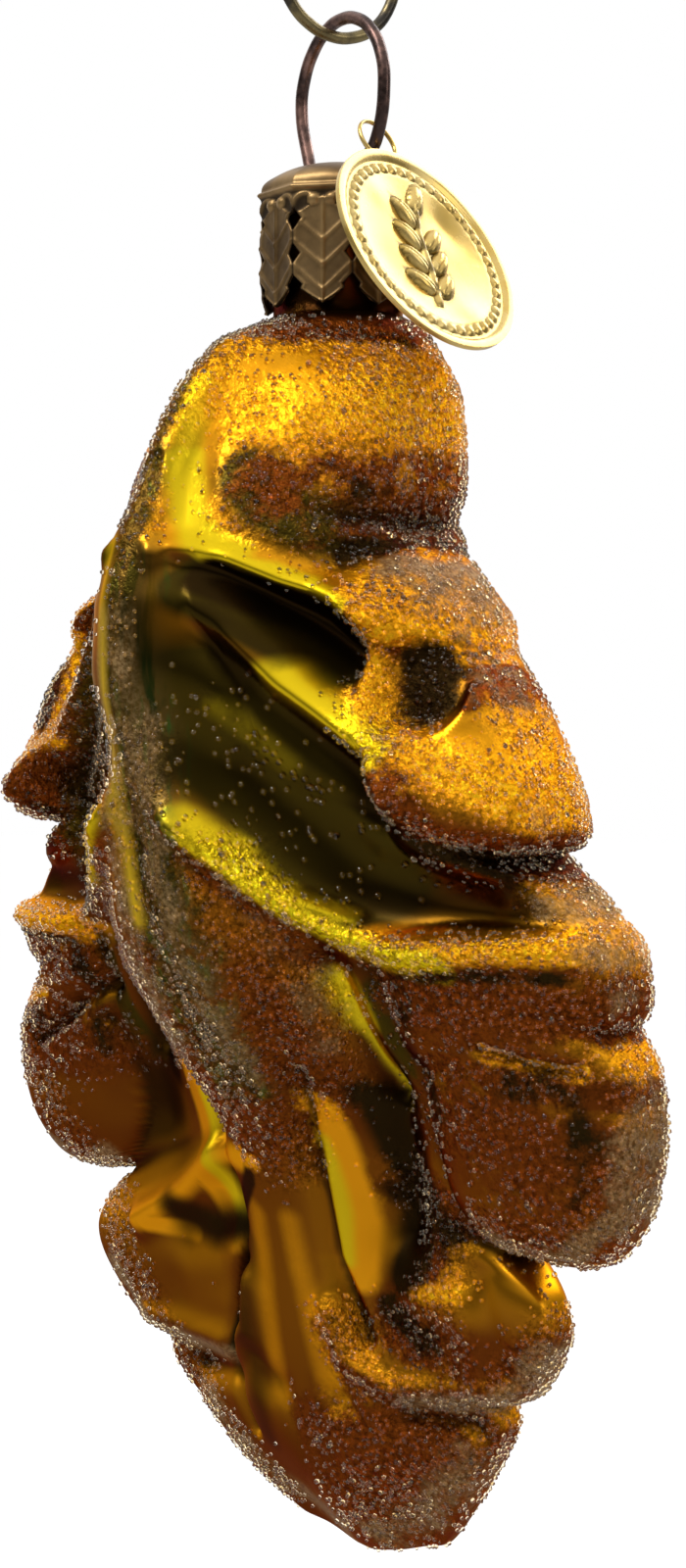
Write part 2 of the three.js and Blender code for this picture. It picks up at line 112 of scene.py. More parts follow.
def facing(vector):
    """How squarely a ray into the surround points along a direction."""
    dot = room.new("ShaderNodeVectorMath")
    dot.operation = "DOT_PRODUCT"
    wires.new(direction, dot.inputs[0])
    dot.inputs[1].default_value = vector
    return dot.outputs["Value"]


def choose(share, below, above):
    """below where share is 0 and above where it is 1, each a number or a socket."""
    pick = room.new("ShaderNodeMapRange")
    wires.new(share, pick.inputs["Value"])
    for name, value in (("To Min", below), ("To Max", above)):
        if isinstance(value, (int, float)):
            pick.inputs[name].default_value = value
        else:
            wires.new(value, pick.inputs[name])
    return pick.outputs["Result"]


# In shiny surfaces the surround is white above and behind and falls to grey towards the camera.
brightest = room.new("ShaderNodeMath")
brightest.operation = "MAXIMUM"
wires.new(facing((0, 0, 1)), brightest.inputs[0])
wires.new(facing(tuple(-towards)), brightest.inputs[1])
falloff = room.new("ShaderNodeMapRange")
falloff.interpolation_type = "SMOOTHSTEP"
wires.new(brightest.outputs[0], falloff.inputs["Value"])
for name, value in (("From Min", 0.1), ("From Max", 0.9), ("To Min", 0.08), ("To Max", 1)):
    falloff.inputs[name].default_value = value
in_metal = choose(ray.outputs["Is Glossy Ray"], surround_light, falloff.outputs["Result"])
through_glass = choose(ray.outputs["Is Transmission Ray"], in_metal, 1)
wires.new(choose(ray.outputs["Is Camera Ray"], through_glass, 1), sky.inputs["Strength"])

bm = bmesh.new()
bmesh.ops.create_grid(bm, x_segments=1, y_segments=1, size=floor_half)
bmesh.ops.translate(bm, verts=bm.verts, vec=(0, 0, -(neck_drop + floor_drop) * mm))
floor = make_piece(bm, "floor")
paper = bpy.data.materials.new("white paper")
paper.use_nodes = True
paper_shader = paper.node_tree.nodes["Principled BSDF"]
paper_shader.inputs["Base Color"].default_value = (0.5, 0.5, 0.5, 1)
paper_shader.inputs["Roughness"].default_value = 0.9
paper_shader.inputs["Emission Color"].default_value = (1, 1, 1, 1)
glow = paper.node_tree.nodes.new("ShaderNodeMath")
glow.operation = "MULTIPLY"
glow.inputs[1].default_value = 0.75
paper.node_tree.links.new(light_seen_as_background(paper.node_tree), glow.inputs[0])
paper.node_tree.links.new(glow.outputs[0], paper_shader.inputs["Emission Strength"])
floor.data.materials.append(paper)


def soft_lamp(name, turn, rise, distance, size, power):
    """A square soft lamp that looks at the leaf from a turn round the camera's side."""
    lamp_data = bpy.data.lights.new(name, "AREA")
    lamp_data.shape = "SQUARE"
    lamp_data.size = size
    lamp_data.energy = power
    a, e = view_turn + math.radians(turn), math.radians(rise)
    place = Vector((math.sin(a) * math.cos(e), -math.cos(a) * math.cos(e), math.sin(e)))
    lamp = bpy.data.objects.new(name, lamp_data)
    turned = (-place).to_track_quat("-Z", "Y").to_matrix().to_4x4()
    lamp.matrix_world = Matrix.Translation(aim * mm + place * distance) @ turned
    bpy.context.scene.collection.objects.link(lamp)


soft_lamp("key lamp", -52, 55, 0.55, 0.2, 1.6)
soft_lamp("fill lamp", 62, 22, 0.7, 0.3, 0.5)
soft_lamp("back lamp", 132, 38, 0.6, 0.3, 1.2)

# Glass leaf: one hollow body blown into a two-part mould, silvered inside and lacquered outside. Its
# midrib stands forward like a keel, and each side has puffed lobes with veins between them.
vein_slope = 0.35
crest_radius = 2.4
midrib_height = 1.1
# The drawing, in mm down from the neck's foot: reach of the rim, its notches (place, depth, breadth), what
# the left half adds to that reach and how far its forms rise, and the depth of the midrib and the rims.
outline = (
    (0.4, 4.55), (1.4, 6.4), (3.5, 9.4), (8.4, 11.3), (12.4, 13.9), (16.3, 17.4), (19.5, 20.6), (23.7, 23.2),
    (30, 26.4), (34.3, 28.6), (44, 29.2), (50, 28.2), (56.8, 23.9), (58.8, 20.8), (62, 20.6), (66.5, 18.4),
    (74, 13.4), (80.5, 9.4), (84, 7), (86.4, 4.6), (87.5, 2.6), (88, 0),
)
notches = (
    (12.4, 3.6, 2.0), (18.0, 1.2, 1.3), (30.2, 5.0, 1.4), (39.3, 1.8, 1.4), (57.8, 4.6, 1.2),
    (70.0, 1.9, 1.2),
)
left_change = (
    (0, 0), (13, -0.3), (15.5, -2), (19, -2), (24, -2.4), (27, -3.3), (31, -4.2), (35, -5), (39, -4.8),
    (43, -2.6), (47, -1.6), (50, -1.4), (53, -0.8), (56, 0.8), (60, 1.4), (70, 2), (80, 0.6), (88, 0),
)
left_rise = ((0, 0), (38, 0), (46, 1.2), (58, 2.4), (70, 1.2), (88, 0))
front_ridge = (
    (0.4, -4.55), (1.2, -7.2), (2.2, -9.8), (3.5, -11.9), (5.6, -13.7), (7.6, -14.9), (9.7, -16), (13.6, -18),
    (17.5, -19.9), (21.4, -20.9), (26.5, -20.9), (33, -19.3), (36, -18.4), (42.6, -16.5), (47.6, -13.9),
    (52, -11), (58, -7.8), (66, -6), (75, -3.8), (82, -1), (88, 2.2),
)
front_edge = (
    (0.4, -1), (4, -2.6), (10, -4), (20, -7.8), (35, -10), (45, -7.8), (55, -5.3), (65, -4.4), (75, -1.6),
    (82, 0.8), (88, 2.4),
)
back_edge = (
    (0.4, 1), (4, 1.5), (10, 0.6), (20, -2.6), (35, -2.4), (45, -0.8), (55, 0.2), (65, 0.4), (75, 2.4),
    (82, 4.2), (88, 4.8),
)
midrib_reach = (
    (0, 1.6), (8, 1.6), (12, 1.4), (15, 1.8), (18, 2.9), (21, 4), (24, 4.9), (30, 5.2), (50, 4.6), (60, 3.2),
    (88, 2.4),
)
back_ridge = ((0.4, 4.55), (4, 5.5), (12, 6), (60, 5.6), (75, 5.6), (88, 5.6))

# centre, reach across and down, turn, height, squareness of the outline, roundness, melt into the rest
lobes = (
    (9.2, 10.3, 6.2, 8.2, 0, 3.3, 2, 0.9, 2.6),
    (15.2, 21.2, 5.0, 3.9, 0.35, 2.9, 2.4, 0.8, 1.5),
    (19.3, 27.4, 5.2, 9.4, -0.5, 3.0, 2.3, 0.8, 1.8),
    (20.4, 34.0, 6.0, 5.1, 0.3, 4.5, 2.2, 0.7, 1.4),
    (22.2, 47.2, 8.6, 5.3, 0, 2.9, 4, 0.4, 0.6),
    (22.2, 56.2, 8.1, 7.5, 0, 3.2, 2.8, 0.42, 0.7),
    (4.6, 44.5, 5.2, 10, -0.12, 1.3, 2.4, 0.8, 1.2),
    (13.4, 70.0, 8.2, 5.2, 0, 1.8, 2.2, 0.9, 1.6),
    (8.0, 79.8, 6.6, 5.4, 0.45, 1.8, 2.2, 0.7, 1.2),
)
# side of the midrib (0 for both), line, half breadth, height above the rest or depth below it
ridges = (
    (0, ((2.2, 17.4), (5.6, 18.3), (8.5, 19.7), (12.1, 20.8), (14.6, 22.2)), 0.9, 1.8),
    (0, ((2.5, 18.5), (4.6, 20.4), (6.8, 23.1), (9.8, 26.4), (12.9, 28.9), (16.4, 31.4), (18, 33.5)),
     1.3, 2.2),
    (0, ((1.5, 34.2), (4.5, 36.2), (7.6, 39.3), (9.8, 41.1), (12.4, 42.7), (16.4, 43.5), (28, 42.9)),
     1.2, 1.9),
    (1, ((9.6, 40.1), (12.5, 41.4)), 0.5, 0.6),
    (-1, ((1.2, 59), (5.8, 61.8), (10, 64.2), (15.1, 66.5)), 1.1, 1.6),
    (1, ((13.4, 22.4), (14.2, 25.5), (14.8, 28.8)), 1.6, 0.5),
    (1, ((14.4, 22.6), (16.5, 22.9), (19.4, 24.0)), 1.4, 0.4),
    (0, ((3.6, 69.1), (4.5, 72.5), (7.4, 74.2), (16.5, 73.6)), 1.1, 1.1),
    (0, ((4, 18.9), (8, 21.6), (12.4, 24.4)), 1.6, -2.4),
    (0, ((5.6, 23.6), (8.6, 27.4), (12.2, 31), (15.4, 34.4)), 1.5, -0.9),
    (0, ((4, 29.5), (8.4, 34.2), (13.5, 38.6), (20, 40.2)), 2.6, -1.5),
    (0, ((9.6, 44.9), (10, 48.5), (10.6, 53)), 1.2, -1.9),
    (1, ((10.6, 53), (10.2, 58), (9.2, 63)), 1.6, -1.2),
    (1, ((8.6, 56.5), (8.2, 62), (7.4, 66.5)), 3.2, -1.1),
    (1, ((20, 49.7), (22.2, 50.1), (23.8, 50.7), (26.5, 50.8)), 0.4, -0.9),
    (-1, ((13.1, 48.5), (16.5, 50.1), (19.3, 52.1), (23, 54)), 0.8, -1.4),
    (-1, ((8.4, 51), (11, 56.1), (12.2, 59)), 3.0, -1.2),
    (-1, ((5, 65), (8.1, 67), (10.8, 67.4)), 1.8, -1.1),
    (0, ((5.6, 52), (4.2, 56), (3.9, 60), (4.1, 65.2), (4.8, 68.2), (5.6, 71)), 0.5, -1.1),
    (-1, ((4.1, 67.5), (6.4, 72.4), (7.9, 75.8), (7.1, 80)), 0.6, -1.1),
    (1, ((15.6, 66), (16.4, 69), (17.2, 71.6)), 1.3, -0.6),
    (0, ((6.5, 69.8), (12, 70.6)), 2.2, -0.7),
    (0, ((2.2, 75.4), (3.6, 75.9)), 1.1, -0.5),
    (0, ((7.6, 76.2), (12.5, 76.4)), 1.0, -0.8),
    (0, ((10.4, 17.7), (11.8, 17.3)), 0.9, -1.5),
    (0, ((0.3, 11.5), (1.2, 15), (2.8, 17.9), (4, 20.9), (4.9, 23.6), (6.3, 26.6), (7.2, 30)), 0.35, -0.45),
    (-1, ((0.3, 17), (0.5, 22.7), (0.7, 26.5), (1.2, 30.3), (1, 34.2), (0.6, 38)), 0.35, -0.4),
)
# centre, reach across and down, turn, depth
pits = ((17.4, 26.5, 2.9, 3.3, -0.1, 2.6),)


def through(points, at):
    """Smooth curve through a few points, with no overshoot between them."""
    xs, ys = np.array(points, float).T
    rise = np.diff(ys) / np.diff(xs)
    lean = np.concatenate([rise[:1], np.zeros(len(rise) - 1), rise[-1:]])
    product = rise[:-1] * rise[1:]
    total = rise[:-1] + rise[1:]
    safe = np.where(product > 0, total, 1)
    lean[1:-1] = np.where(product > 0, 2 * product / safe, 0)
    at = np.clip(at, xs[0], xs[-1])
    i = np.clip(np.searchsorted(xs, at) - 1, 0, len(rise) - 1)
    span = xs[i + 1] - xs[i]
    t = (at - xs[i]) / span
    a, b, p, q = ys[i], ys[i + 1], lean[i] * span, lean[i + 1] * span
    return a + t * (p + t * (3 * (b - a) - 2 * p - q + t * (2 * (a - b) + p + q)))


def ease(start, end, at):
    t = np.clip((at - start) / (end - start), 0, 1)
    return t * t * (3 - 2 * t)


def soft_max(a, b, blend):
    h = np.clip(0.5 + 0.5 * (a - b) / blend, 0, 1)
    return b + (a - b) * h + blend * h * (1 - h)


def distance_to(line, x, h):
    """Distance from (x, h) to a chain of straight runs on the leaf's drawing."""
    best = np.full_like(x, 1e9)
    for (ax, ah), (bx, bh) in zip(line, line[1:]):
        dx, dh = bx - ax, bh - ah
        t = np.clip(((x - ax) * dx + (h - ah) * dh) / (dx * dx + dh * dh), 0, 1)
        best = np.minimum(best, np.hypot(x - ax - t * dx, h - ah - t * dh))
    return best


def half_width(row, left=0):
    """Reach of the rim from the midrib. left is 1 on the leaf's left half, which is a little uneven."""
    drawn = row + left * through(left_rise, row)
    width = through(outline, drawn)
    for at, deep, reach in notches:
        width = width - deep * np.exp(-(np.abs((drawn - at) / reach) ** 1.4))
    return width + left * through(left_change, row)


def leaf_face(side, x, h):
    """y of the leaf's front (side -1) or back (side 1) at x from the midrib and h down."""
    front = side < 0
    strength = 1 if front else 0.5
    left = ease(0.5, 5, -x)
    x = np.abs(x)
    rim_row = h - vein_slope * x
    reach = np.maximum(through(outline, rim_row) + left * through(left_change, rim_row), 1)
    share = np.minimum((np.hypot(x, crest_radius) - crest_radius) / reach, 1.2)
    fall = 0.75 + 0.17 * ease(12, 26, h) if front else 1.2
    ridge = through(front_ridge if front else back_ridge, h)
    edge = through(front_edge if front else back_edge, h)
    out = side * (ridge + (edge - ridge) * share ** fall)
    if front:
        out = out - 1.6 * np.sin(np.pi * np.minimum(share, 1)) ** 1.5 * ease(14, 22, h)
    h = h + left * through(left_rise, h)
    bare = out
    for cx, ch, reach_x, reach_h, turn, high, square, round_off, melt in lobes:
        c, s = math.cos(turn), math.sin(turn)
        a = np.abs(((x - cx) * c + (h - ch) * s) / reach_x)
        b = np.abs((-(x - cx) * s + (h - ch) * c) / reach_h)
        away = (a**square + b**square) ** (2 / square)
        puffed = high * np.maximum(1 - away, 0) ** round_off - np.maximum(away - 1, 0)
        out = soft_max(out, bare + strength * puffed, melt)
    for half, line, broad, high in ridges:
        here = {-1: left, 0: 1, 1: 1 - left}[half] * (ease(0.5, 4.5, x) if high > 0 else 1)
        out = out + strength * high * here * np.exp(-((distance_to(line, x, h) / broad) ** 2))
    for cx, ch, reach_x, reach_h, turn, deep in pits:
        c, s = math.cos(turn), math.sin(turn)
        away = np.abs(((x - cx) * c + (h - ch) * s) / reach_x) ** 3
        away = away + np.abs((-(x - cx) * s + (h - ch) * c) / reach_h) ** 3
        out = out - strength * deep * (1 - left) * ease(1.3, 0.1, away)
    rib = ease(2, 9, h) * ease(66, 52, h)
    return side * (out + strength * midrib_height * rib * ease(1.3, 0.6, x / through(midrib_reach, h)))


glass_wall = 1
neck_top = 8.3
neck_radius = 4.55
leaf_length = 88
shoulder = 0.4
front_columns = 150
back_columns = 90
neck_rows = 12
leaf_rows = 356


def leaf_point(row, turn):
    """Where a row down the leaf and a turn round it lie, in mm from the neck's foot."""
    neck = ease(3.2, shoulder, row)
    c, s = np.cos(turn), np.sin(turn)
    width = np.maximum(half_width(row, ease(0, 0.2, -c)), 0.2)
    out = width * np.abs(c) ** 0.8
    slope = vein_slope * ease(shoulder, 9, row) * ease(leaf_length + 0.5, leaf_length - 4, row)
    h = row + slope * (np.hypot(out, 1) - 1)
    front, back = leaf_face(-1, np.sign(c) * out, h), leaf_face(1, np.sign(c) * out, h)
    closing = np.sqrt(np.clip((leaf_length - row) / 5, 0, 1))
    half = np.maximum((back - front) / 2, 0.15) * closing
    x = np.sign(c) * (out + (width * np.abs(c) - out) * neck)
    y = (front + back) / 2 - half * np.sign(s) * np.abs(s) ** 0.42
    return np.stack([x, y + (-width * s - y) * neck, -h], -1)


# The lacquer's colours on the drawing, alike on both halves: line, half breadth and strength of each
# # place. The bright gold is painted highlight and the deep strokes painted shade; the yellow-green and
# # the crest's yellow are partly lacquer colour and partly painted highlight, the olive and rust partly
# # lacquer colour and partly painted shade. hoar is where the frost is so thick that it hides the lacquer.
# Partly the lacquer's yellow-green, partly painted highlight on the tops of the veins and in the crease
# beside lobe 3.
yellow_green_and_highlight = (
    (((4.6, 18.2), (7.6, 19.0), (10, 20.0), (13, 21.6)), 0.65, 1.0),
    (((9.4, 26), (11.4, 27.5), (12.9, 28.8), (16, 31)), 1.4, 1.0),
    (((3.6, 35.0), (6.1, 37.2), (7.8, 39.3), (9.8, 41.1), (12.4, 43), (16.4, 44), (19.2, 44.3)), 1.1, 1.0),
    (((9.6, 40.1), (12.5, 41.4)), 0.6, 0.8),
    (((10.1, 45.8), (10.6, 48.4)), 1.3, 1.1),
    (((10.6, 48.4), (10.8, 51.7), (11, 54.1)), 0.8, 1.0),
    (((5.8, 28), (9, 31.5)), 1.8, 0.35),
    (((4.8, 57), (5.2, 62), (5, 65.4)), 0.9, 0.8),
)
# Painted highlights: bright gold where the bulb's top, ridge tops, lobe tops and lips face up to the light.
gold_highlight = (
    (((2.3, 7.4), (6.8, 7.8), (8.7, 7.4), (10.8, 8)), 3.0, 1.0),
    (((14, 22.8), (15.5, 23.2), (17.3, 23.5), (18.6, 24.4)), 1.1, 0.9),
    (((14.2, 24.4), (14.7, 27), (15.4, 28.6)), 0.9, 0.8),
    (((15, 28.9), (17.2, 29.4), (19.9, 30.4), (23.2, 32.4), (24.8, 34)), 2.0, 1.0),
    (((14, 43.2), (22, 42.6), (28.5, 42.6)), 1.5, 1.0),
    (((20.5, 49.7), (22.2, 50.2), (23.8, 50.6), (27, 50.7)), 0.5, 1.0),
    (((5.6, 55), (5.8, 59.5), (6.2, 63.6), (5.8, 66.4)), 1.7, 0.9),
    (((10.2, 67.1), (14.2, 66.7)), 0.9, 0.8),
    (((1.5, 63), (2, 70), (2.4, 76)), 2.0, 0.5),
)
# Partly the lacquer's olive, partly painted shade in the hollows between the veins and under the bulb.
olive_and_shade = (
    (((5, 28), (9, 33), (13, 38)), 4.4, 1.0),
    (((4.6, 20), (8, 22), (12.5, 24.8)), 1.9, 1.0),
    (((5, 12.6), (6.8, 14.6), (10, 16.4)), 2.1, 0.72),
    (((12.6, 46.4), (12.8, 50), (12.6, 54)), 0.9, 0.8),
)
# Partly the lacquer's rust red, partly painted shade on the undersides and lower faces of the lobes.
rust = (
    (((7.6, 13), (12, 11.6), (12, 16)), 4.2, 0.66),
    (((13, 18), (18, 21), (23, 27)), 2.2, 0.6),
    (((17.6, 20.4), (19.4, 23.6), (20.4, 27.4)), 1.3, 0.85),
    (((20, 37.6), (25, 37.4)), 2.2, 0.9),
    (((15.4, 30.4), (17.5, 33), (18.4, 36.4), (21, 38.4)), 2.4, 1.0),
    (((-5, -6), (5, -6), (5, -1), (-5, -1)), 2.2, 1.0),
    (((17.2, 26.2), (17.2, 26.8)), 2.2, 1.0),
    (((15, 47), (21, 47), (29, 47)), 2.6, 1.0),
    (((16, 55), (22, 56), (26, 57)), 5.0, 0.9),
    (((20, 51.6), (28.6, 52.4)), 1.4, 0.9),
    (((9.4, 58.1), (13.6, 60.1), (14.4, 62.2)), 1.6, 0.7),
    (((12, 64), (8, 69), (11, 71)), 2.4, 0.9),
    (((1, 77), (8, 77)), 2.6, 0.8),
    (((0, 1.6), (8, 2)), 1.7, 0.9),
    (((14, 71), (20, 71)), 3, 0.8),
    (((3, 82), (9, 80)), 6, 0.9),
)
frosting = (
    (((0, 2), (0, 8)), 3.0, 0.9),
    (((0, 8), (0, 20), (0, 30)), 2.2, 0.6),
    (((0, 30), (0, 40), (1, 50), (2, 58)), 3.0, 1.1),
    (((9, 3), (12, 10), (11, 15)), 4.6, 1.0),
    (((14, 20.5), (18, 22), (22, 26), (25.4, 31), (27, 37)), 2.4, 1.0),
    (((16.6, 32), (20, 36), (24, 37.5)), 2.4, 0.8),
    (((5, 39), (7, 46), (6, 52)), 3.6, 1.0),
    (((6, 38), (9.8, 41.5), (14, 44)), 1.2, 0.8),
    (((28.5, 42), (30, 48), (30, 55), (25, 62), (18, 62)), 2.4, 1.1),
    (((15, 46.5), (27, 47)), 3.2, 0.95),
    (((6.4, 37.6), (10, 41.6), (14, 43.6), (20, 43.4), (28, 42.8)), 1.3, 0.95),
    (((0.4, 8), (1.6, 11.6), (3.2, 15)), 0.9, 0.55),
    (((20.5, 49.7), (23.8, 50.6), (27, 50.7)), 1.6, 0.9),
    (((17, 51), (26, 52)), 1.6, 0.8),
    (((16, 54), (24, 56), (22, 60)), 5.0, 0.7),
    (((10, 60), (13.6, 62), (12, 68), (8.4, 70), (13, 71)), 2.8, 0.95),
    (((24, 39.4), (29, 41)), 1.8, 1.0),
    (((17, 30.6), (23, 33.4), (26, 37)), 2.4, 0.9),
    (((1, 78), (9, 77)), 3.0, 0.8),
    (((9, 8), (6, 15)), 3.6, 0.9),
    (((5, 27), (7, 30)), 1.6, 0.3),
    (((17.4, 24.4), (17.4, 28.6)), 2.0, 0.9),
    (((14.5, 21), (14.6, 27), (17, 31), (22, 32)), 2.4, 0.75),
    (((4, 8), (6.4, 14)), 3.4, 0.7),
    (((-1, 5), (0, 12), (1, 16)), 1.6, 0.7),
    (((1, 2.6), (8, 3)), 1.8, 0.9),
    (((4, 70), (5.5, 74), (8, 75), (16, 74), (21, 69)), 2.2, 1.1),
    (((2, 84), (8, 80), (13, 77)), 4.6, 1.0),
)
# Painted shade: near black in the pit, the hollows beside the veins and under the lobes.
deep = (
    (((4.6, 19.4), (7, 20.8), (10, 22.2), (12.6, 24)), 1.5, 1.0),
    (((5, 21.4), (9.6, 25)), 1.3, 0.6),
    (((17, 25.6), (17.6, 27.4)), 2.3, 1.0),
    (((10.4, 17.7), (11.6, 17.4)), 0.9, 1.0),
    (((8.8, 12.6), (10.6, 14), (9.4, 15.4)), 1.5, 0.5),
    (((17, 35.4), (18.4, 37), (22, 38)), 1.5, 0.8),
    (((8, 68.6), (11, 70.4)), 1.7, 0.9),
    (((9.4, 54.4), (9.8, 58), (10.4, 62), (9.6, 66)), 2.3, 0.95),
    (((11.6, 60.6), (13.6, 64)), 1.9, 0.8),
    (((15.4, 45), (20, 44.9), (27, 44.9)), 0.8, 0.75),
    (((15.4, 45.5), (14.8, 50), (15.6, 54)), 1.5, 0.65),
    (((22, 51.7), (26, 52.2), (26.6, 55.5), (25.6, 59)), 1.7, 0.62),
)
hoar = (
    (((20.6, 25), (22.8, 27.6), (24.9, 31.4), (26.4, 36)), 1.7, 0.8),
    (((13, 18.6), (16, 20.2), (18.6, 23)), 1.3, 0.8),
    (((25, 40), (28, 41), (29, 43.4)), 1.5, 0.85),
    (((29.4, 46), (29.8, 52), (28, 60), (22, 64), (18, 62.5)), 1.3, 0.8),
    (((8, 75), (16, 74.4), (20, 70)), 1.3, 0.8),
    (((2, 86), (8, 83), (12, 79)), 2.2, 0.7),
    (((12.6, 5), (14, 10), (13, 15)), 1.8, 0.7),
    (((6, 39), (9, 45), (8, 50)), 1.8, 0.55),
    (((0.6, 22), (1.2, 32), (2, 42), (3, 52)), 1.9, 0.7),
)
# These have a side of their own, with x below 0 on the leaf's left half.
left_frosting = (
    (((-8, 26), (-12, 30), (-15, 34)), 3.6, 0.8),
    (((-18, 44), (-22, 50)), 2.6, 0.8),
    (((-11, 21), (-15, 27), (-17, 33), (-15, 37)), 3.6, 0.9),
    (((-24, 50), (-24, 56), (-20, 64), (-17, 71), (-13, 78), (-8, 84)), 2.6, 1.0),
)
# Painted shade on the left half, in its hollows and folds.
left_painted_shade = (
    (((-11, 65.6), (-8.1, 66.6), (-5, 66)), 2.2, 0.75),
    (((-8.4, 51.6), (-11.6, 56.1), (-11.2, 58.7)), 3.0, 0.6),
    (((-3.4, 66), (-4.6, 74), (-5, 80)), 2.4, 0.6),
    (((-1.2, 60), (-3.4, 64), (-4.1, 67.5), (-6.4, 72.4), (-7.8, 75.8)), 0.7, 0.9),
)
# Painted highlights on the left half: gold along the vein's upper edge and a lobe's top.
left_gold_highlight = (
    (((-1.2, 59), (-5.8, 61.8), (-10, 64.2), (-15, 66.5)), 1.3, 0.7),
    (((-12, 44), (-20, 44)), 2.0, 0.7),
)
midrib_streaks = (
    (((-1.6, 2), (-1, 9), (-0.6, 14), (0, 19)), 1.8, 1.3),
    (((-3.6, 2), (-3, 9), (-2.4, 14), (-1.6, 19)), 2.0, 1.1),
    (((0.2, 19), (0.8, 28), (1.4, 40), (1.2, 52)), 3.3, 1.0),
)
# Partly yellow lacquer, partly painted highlight: the strip down the crest beside the bulb, which faces up to
# the light.
crest_yellow_highlight = (
    (((1.5, 11.4), (1.9, 12.8), (2.8, 15.4), (4.2, 17.2), (6, 18)), 0.9, 1.0),
    (((0.6, 6), (1.2, 9), (1.5, 11.4)), 0.9, 0.6),
)
satin_bowls = ((((6, 54), (7, 64)), 3.4, 1.0), (((0, 62), (-1, 80)), 4, 1.0))
gilt_groove = ((((-1.2, 17), (-0.9, 26), (-1.4, 34), (-0.8, 42)), 0.45, 1.0),)


def spread(strokes, x, h):
    """How strongly the nearest of some brush strokes covers each point, from 0 to 1."""
    cover = np.zeros_like(x)
    for line, broad, strength in strokes:
        cover = np.maximum(cover, strength * np.exp(-((distance_to(line, x, h) / broad) ** 2)))
    return np.minimum(cover, 1)


def running_mean(points, axis, span):
    """Mean of each point of a grid with its neighbours along one axis. The grid's ends are held."""
    first, last = points.take([0] * (span // 2), axis), points.take([-1] * (span // 2), axis)
    total = np.cumsum(np.concatenate([first, points, last], axis), axis)
    total = np.concatenate([np.zeros_like(total.take([0], axis)), total], axis)
    ahead = total.take(range(span, total.shape[axis]), axis)
    return (ahead - total.take(range(total.shape[axis] - span), axis)) / span


bm = bmesh.new()
columns = front_columns + back_columns
rows = neck_rows + leaf_rows
bmesh.ops.create_grid(bm, x_segments=columns, y_segments=rows, size=1)
grid = np.array([v.co for v in bm.verts])
column = (grid[:, 0] + 1) / 2 * columns
share = np.minimum(column / front_columns, 1)
turn = np.pi * share + 0.15 * np.sin(2 * np.pi * share)
turn = turn + np.pi * np.maximum(column - front_columns, 0) / back_columns
step = (1 - grid[:, 1]) / 2 * rows
row = shoulder + (leaf_length - 0.1 - shoulder) * np.maximum(step - neck_rows, 0) / leaf_rows
placed = leaf_point(row, turn)
on_neck = step < neck_rows
neck_height = neck_top + (-shoulder - neck_top) * step / neck_rows
neck = np.stack([neck_radius * np.cos(turn), -neck_radius * np.sin(turn), neck_height], -1)
placed[on_neck] = neck[on_neck]
sideways = placed[:, 0]
drawn = -placed[:, 2] + ease(0.5, 5, -sideways) * through(left_rise, -placed[:, 2])
layers = {
    name: spread(strokes, np.abs(sideways), drawn)
    for name, strokes in (
        ("yellow_green_and_highlight", yellow_green_and_highlight), ("gold_highlight", gold_highlight), ("olive_and_shade", olive_and_shade), ("rust", rust),
        ("frosting", frosting), ("deep", deep), ("hoar", hoar),
    )
}
layers["midrib"] = spread(midrib_streaks, sideways, drawn)
layers["gilt_groove"] = spread(gilt_groove, sideways, drawn)
layers["frosting"] = layers["frosting"] * (1 - layers["gilt_groove"])
strip = spread(crest_yellow_highlight, sideways, drawn)
layers["yellow_green_and_highlight"] = np.maximum(layers["yellow_green_and_highlight"] * ease(10, 6, -sideways), strip)
smoother = 1 - 0.85 * ease(0, 3, -sideways) * ease(54, 60, drawn)
for name in ("frosting", "rust", "deep"):
    layers[name] = layers[name] * smoother
layers["frosting"] = layers["frosting"] * (1 - 0.4 * strip)
layers["frosting"] = np.maximum(layers["frosting"], spread(left_frosting, sideways, drawn))
bowl = spread(satin_bowls, sideways, drawn)
layers["satin"] = np.maximum(bowl, ease(1, 4, -sideways) * ease(36, 44, drawn))
layers["gold_highlight"] = np.maximum(layers["gold_highlight"], spread(left_gold_highlight, sideways, drawn))
layers["deep"] = np.maximum(layers["deep"], spread(left_painted_shade, sideways, drawn))
placed[:, 2] -= neck_drop
for vertex, place in zip(bm.verts, placed * mm):
    vertex.co = place
bm.normal_update()
outside = np.array([v.normal for v in bm.verts]).reshape(rows + 1, columns + 1, 3)
if outside[rows // 2, front_columns // 2, 1] > 0:
    outside = -outside
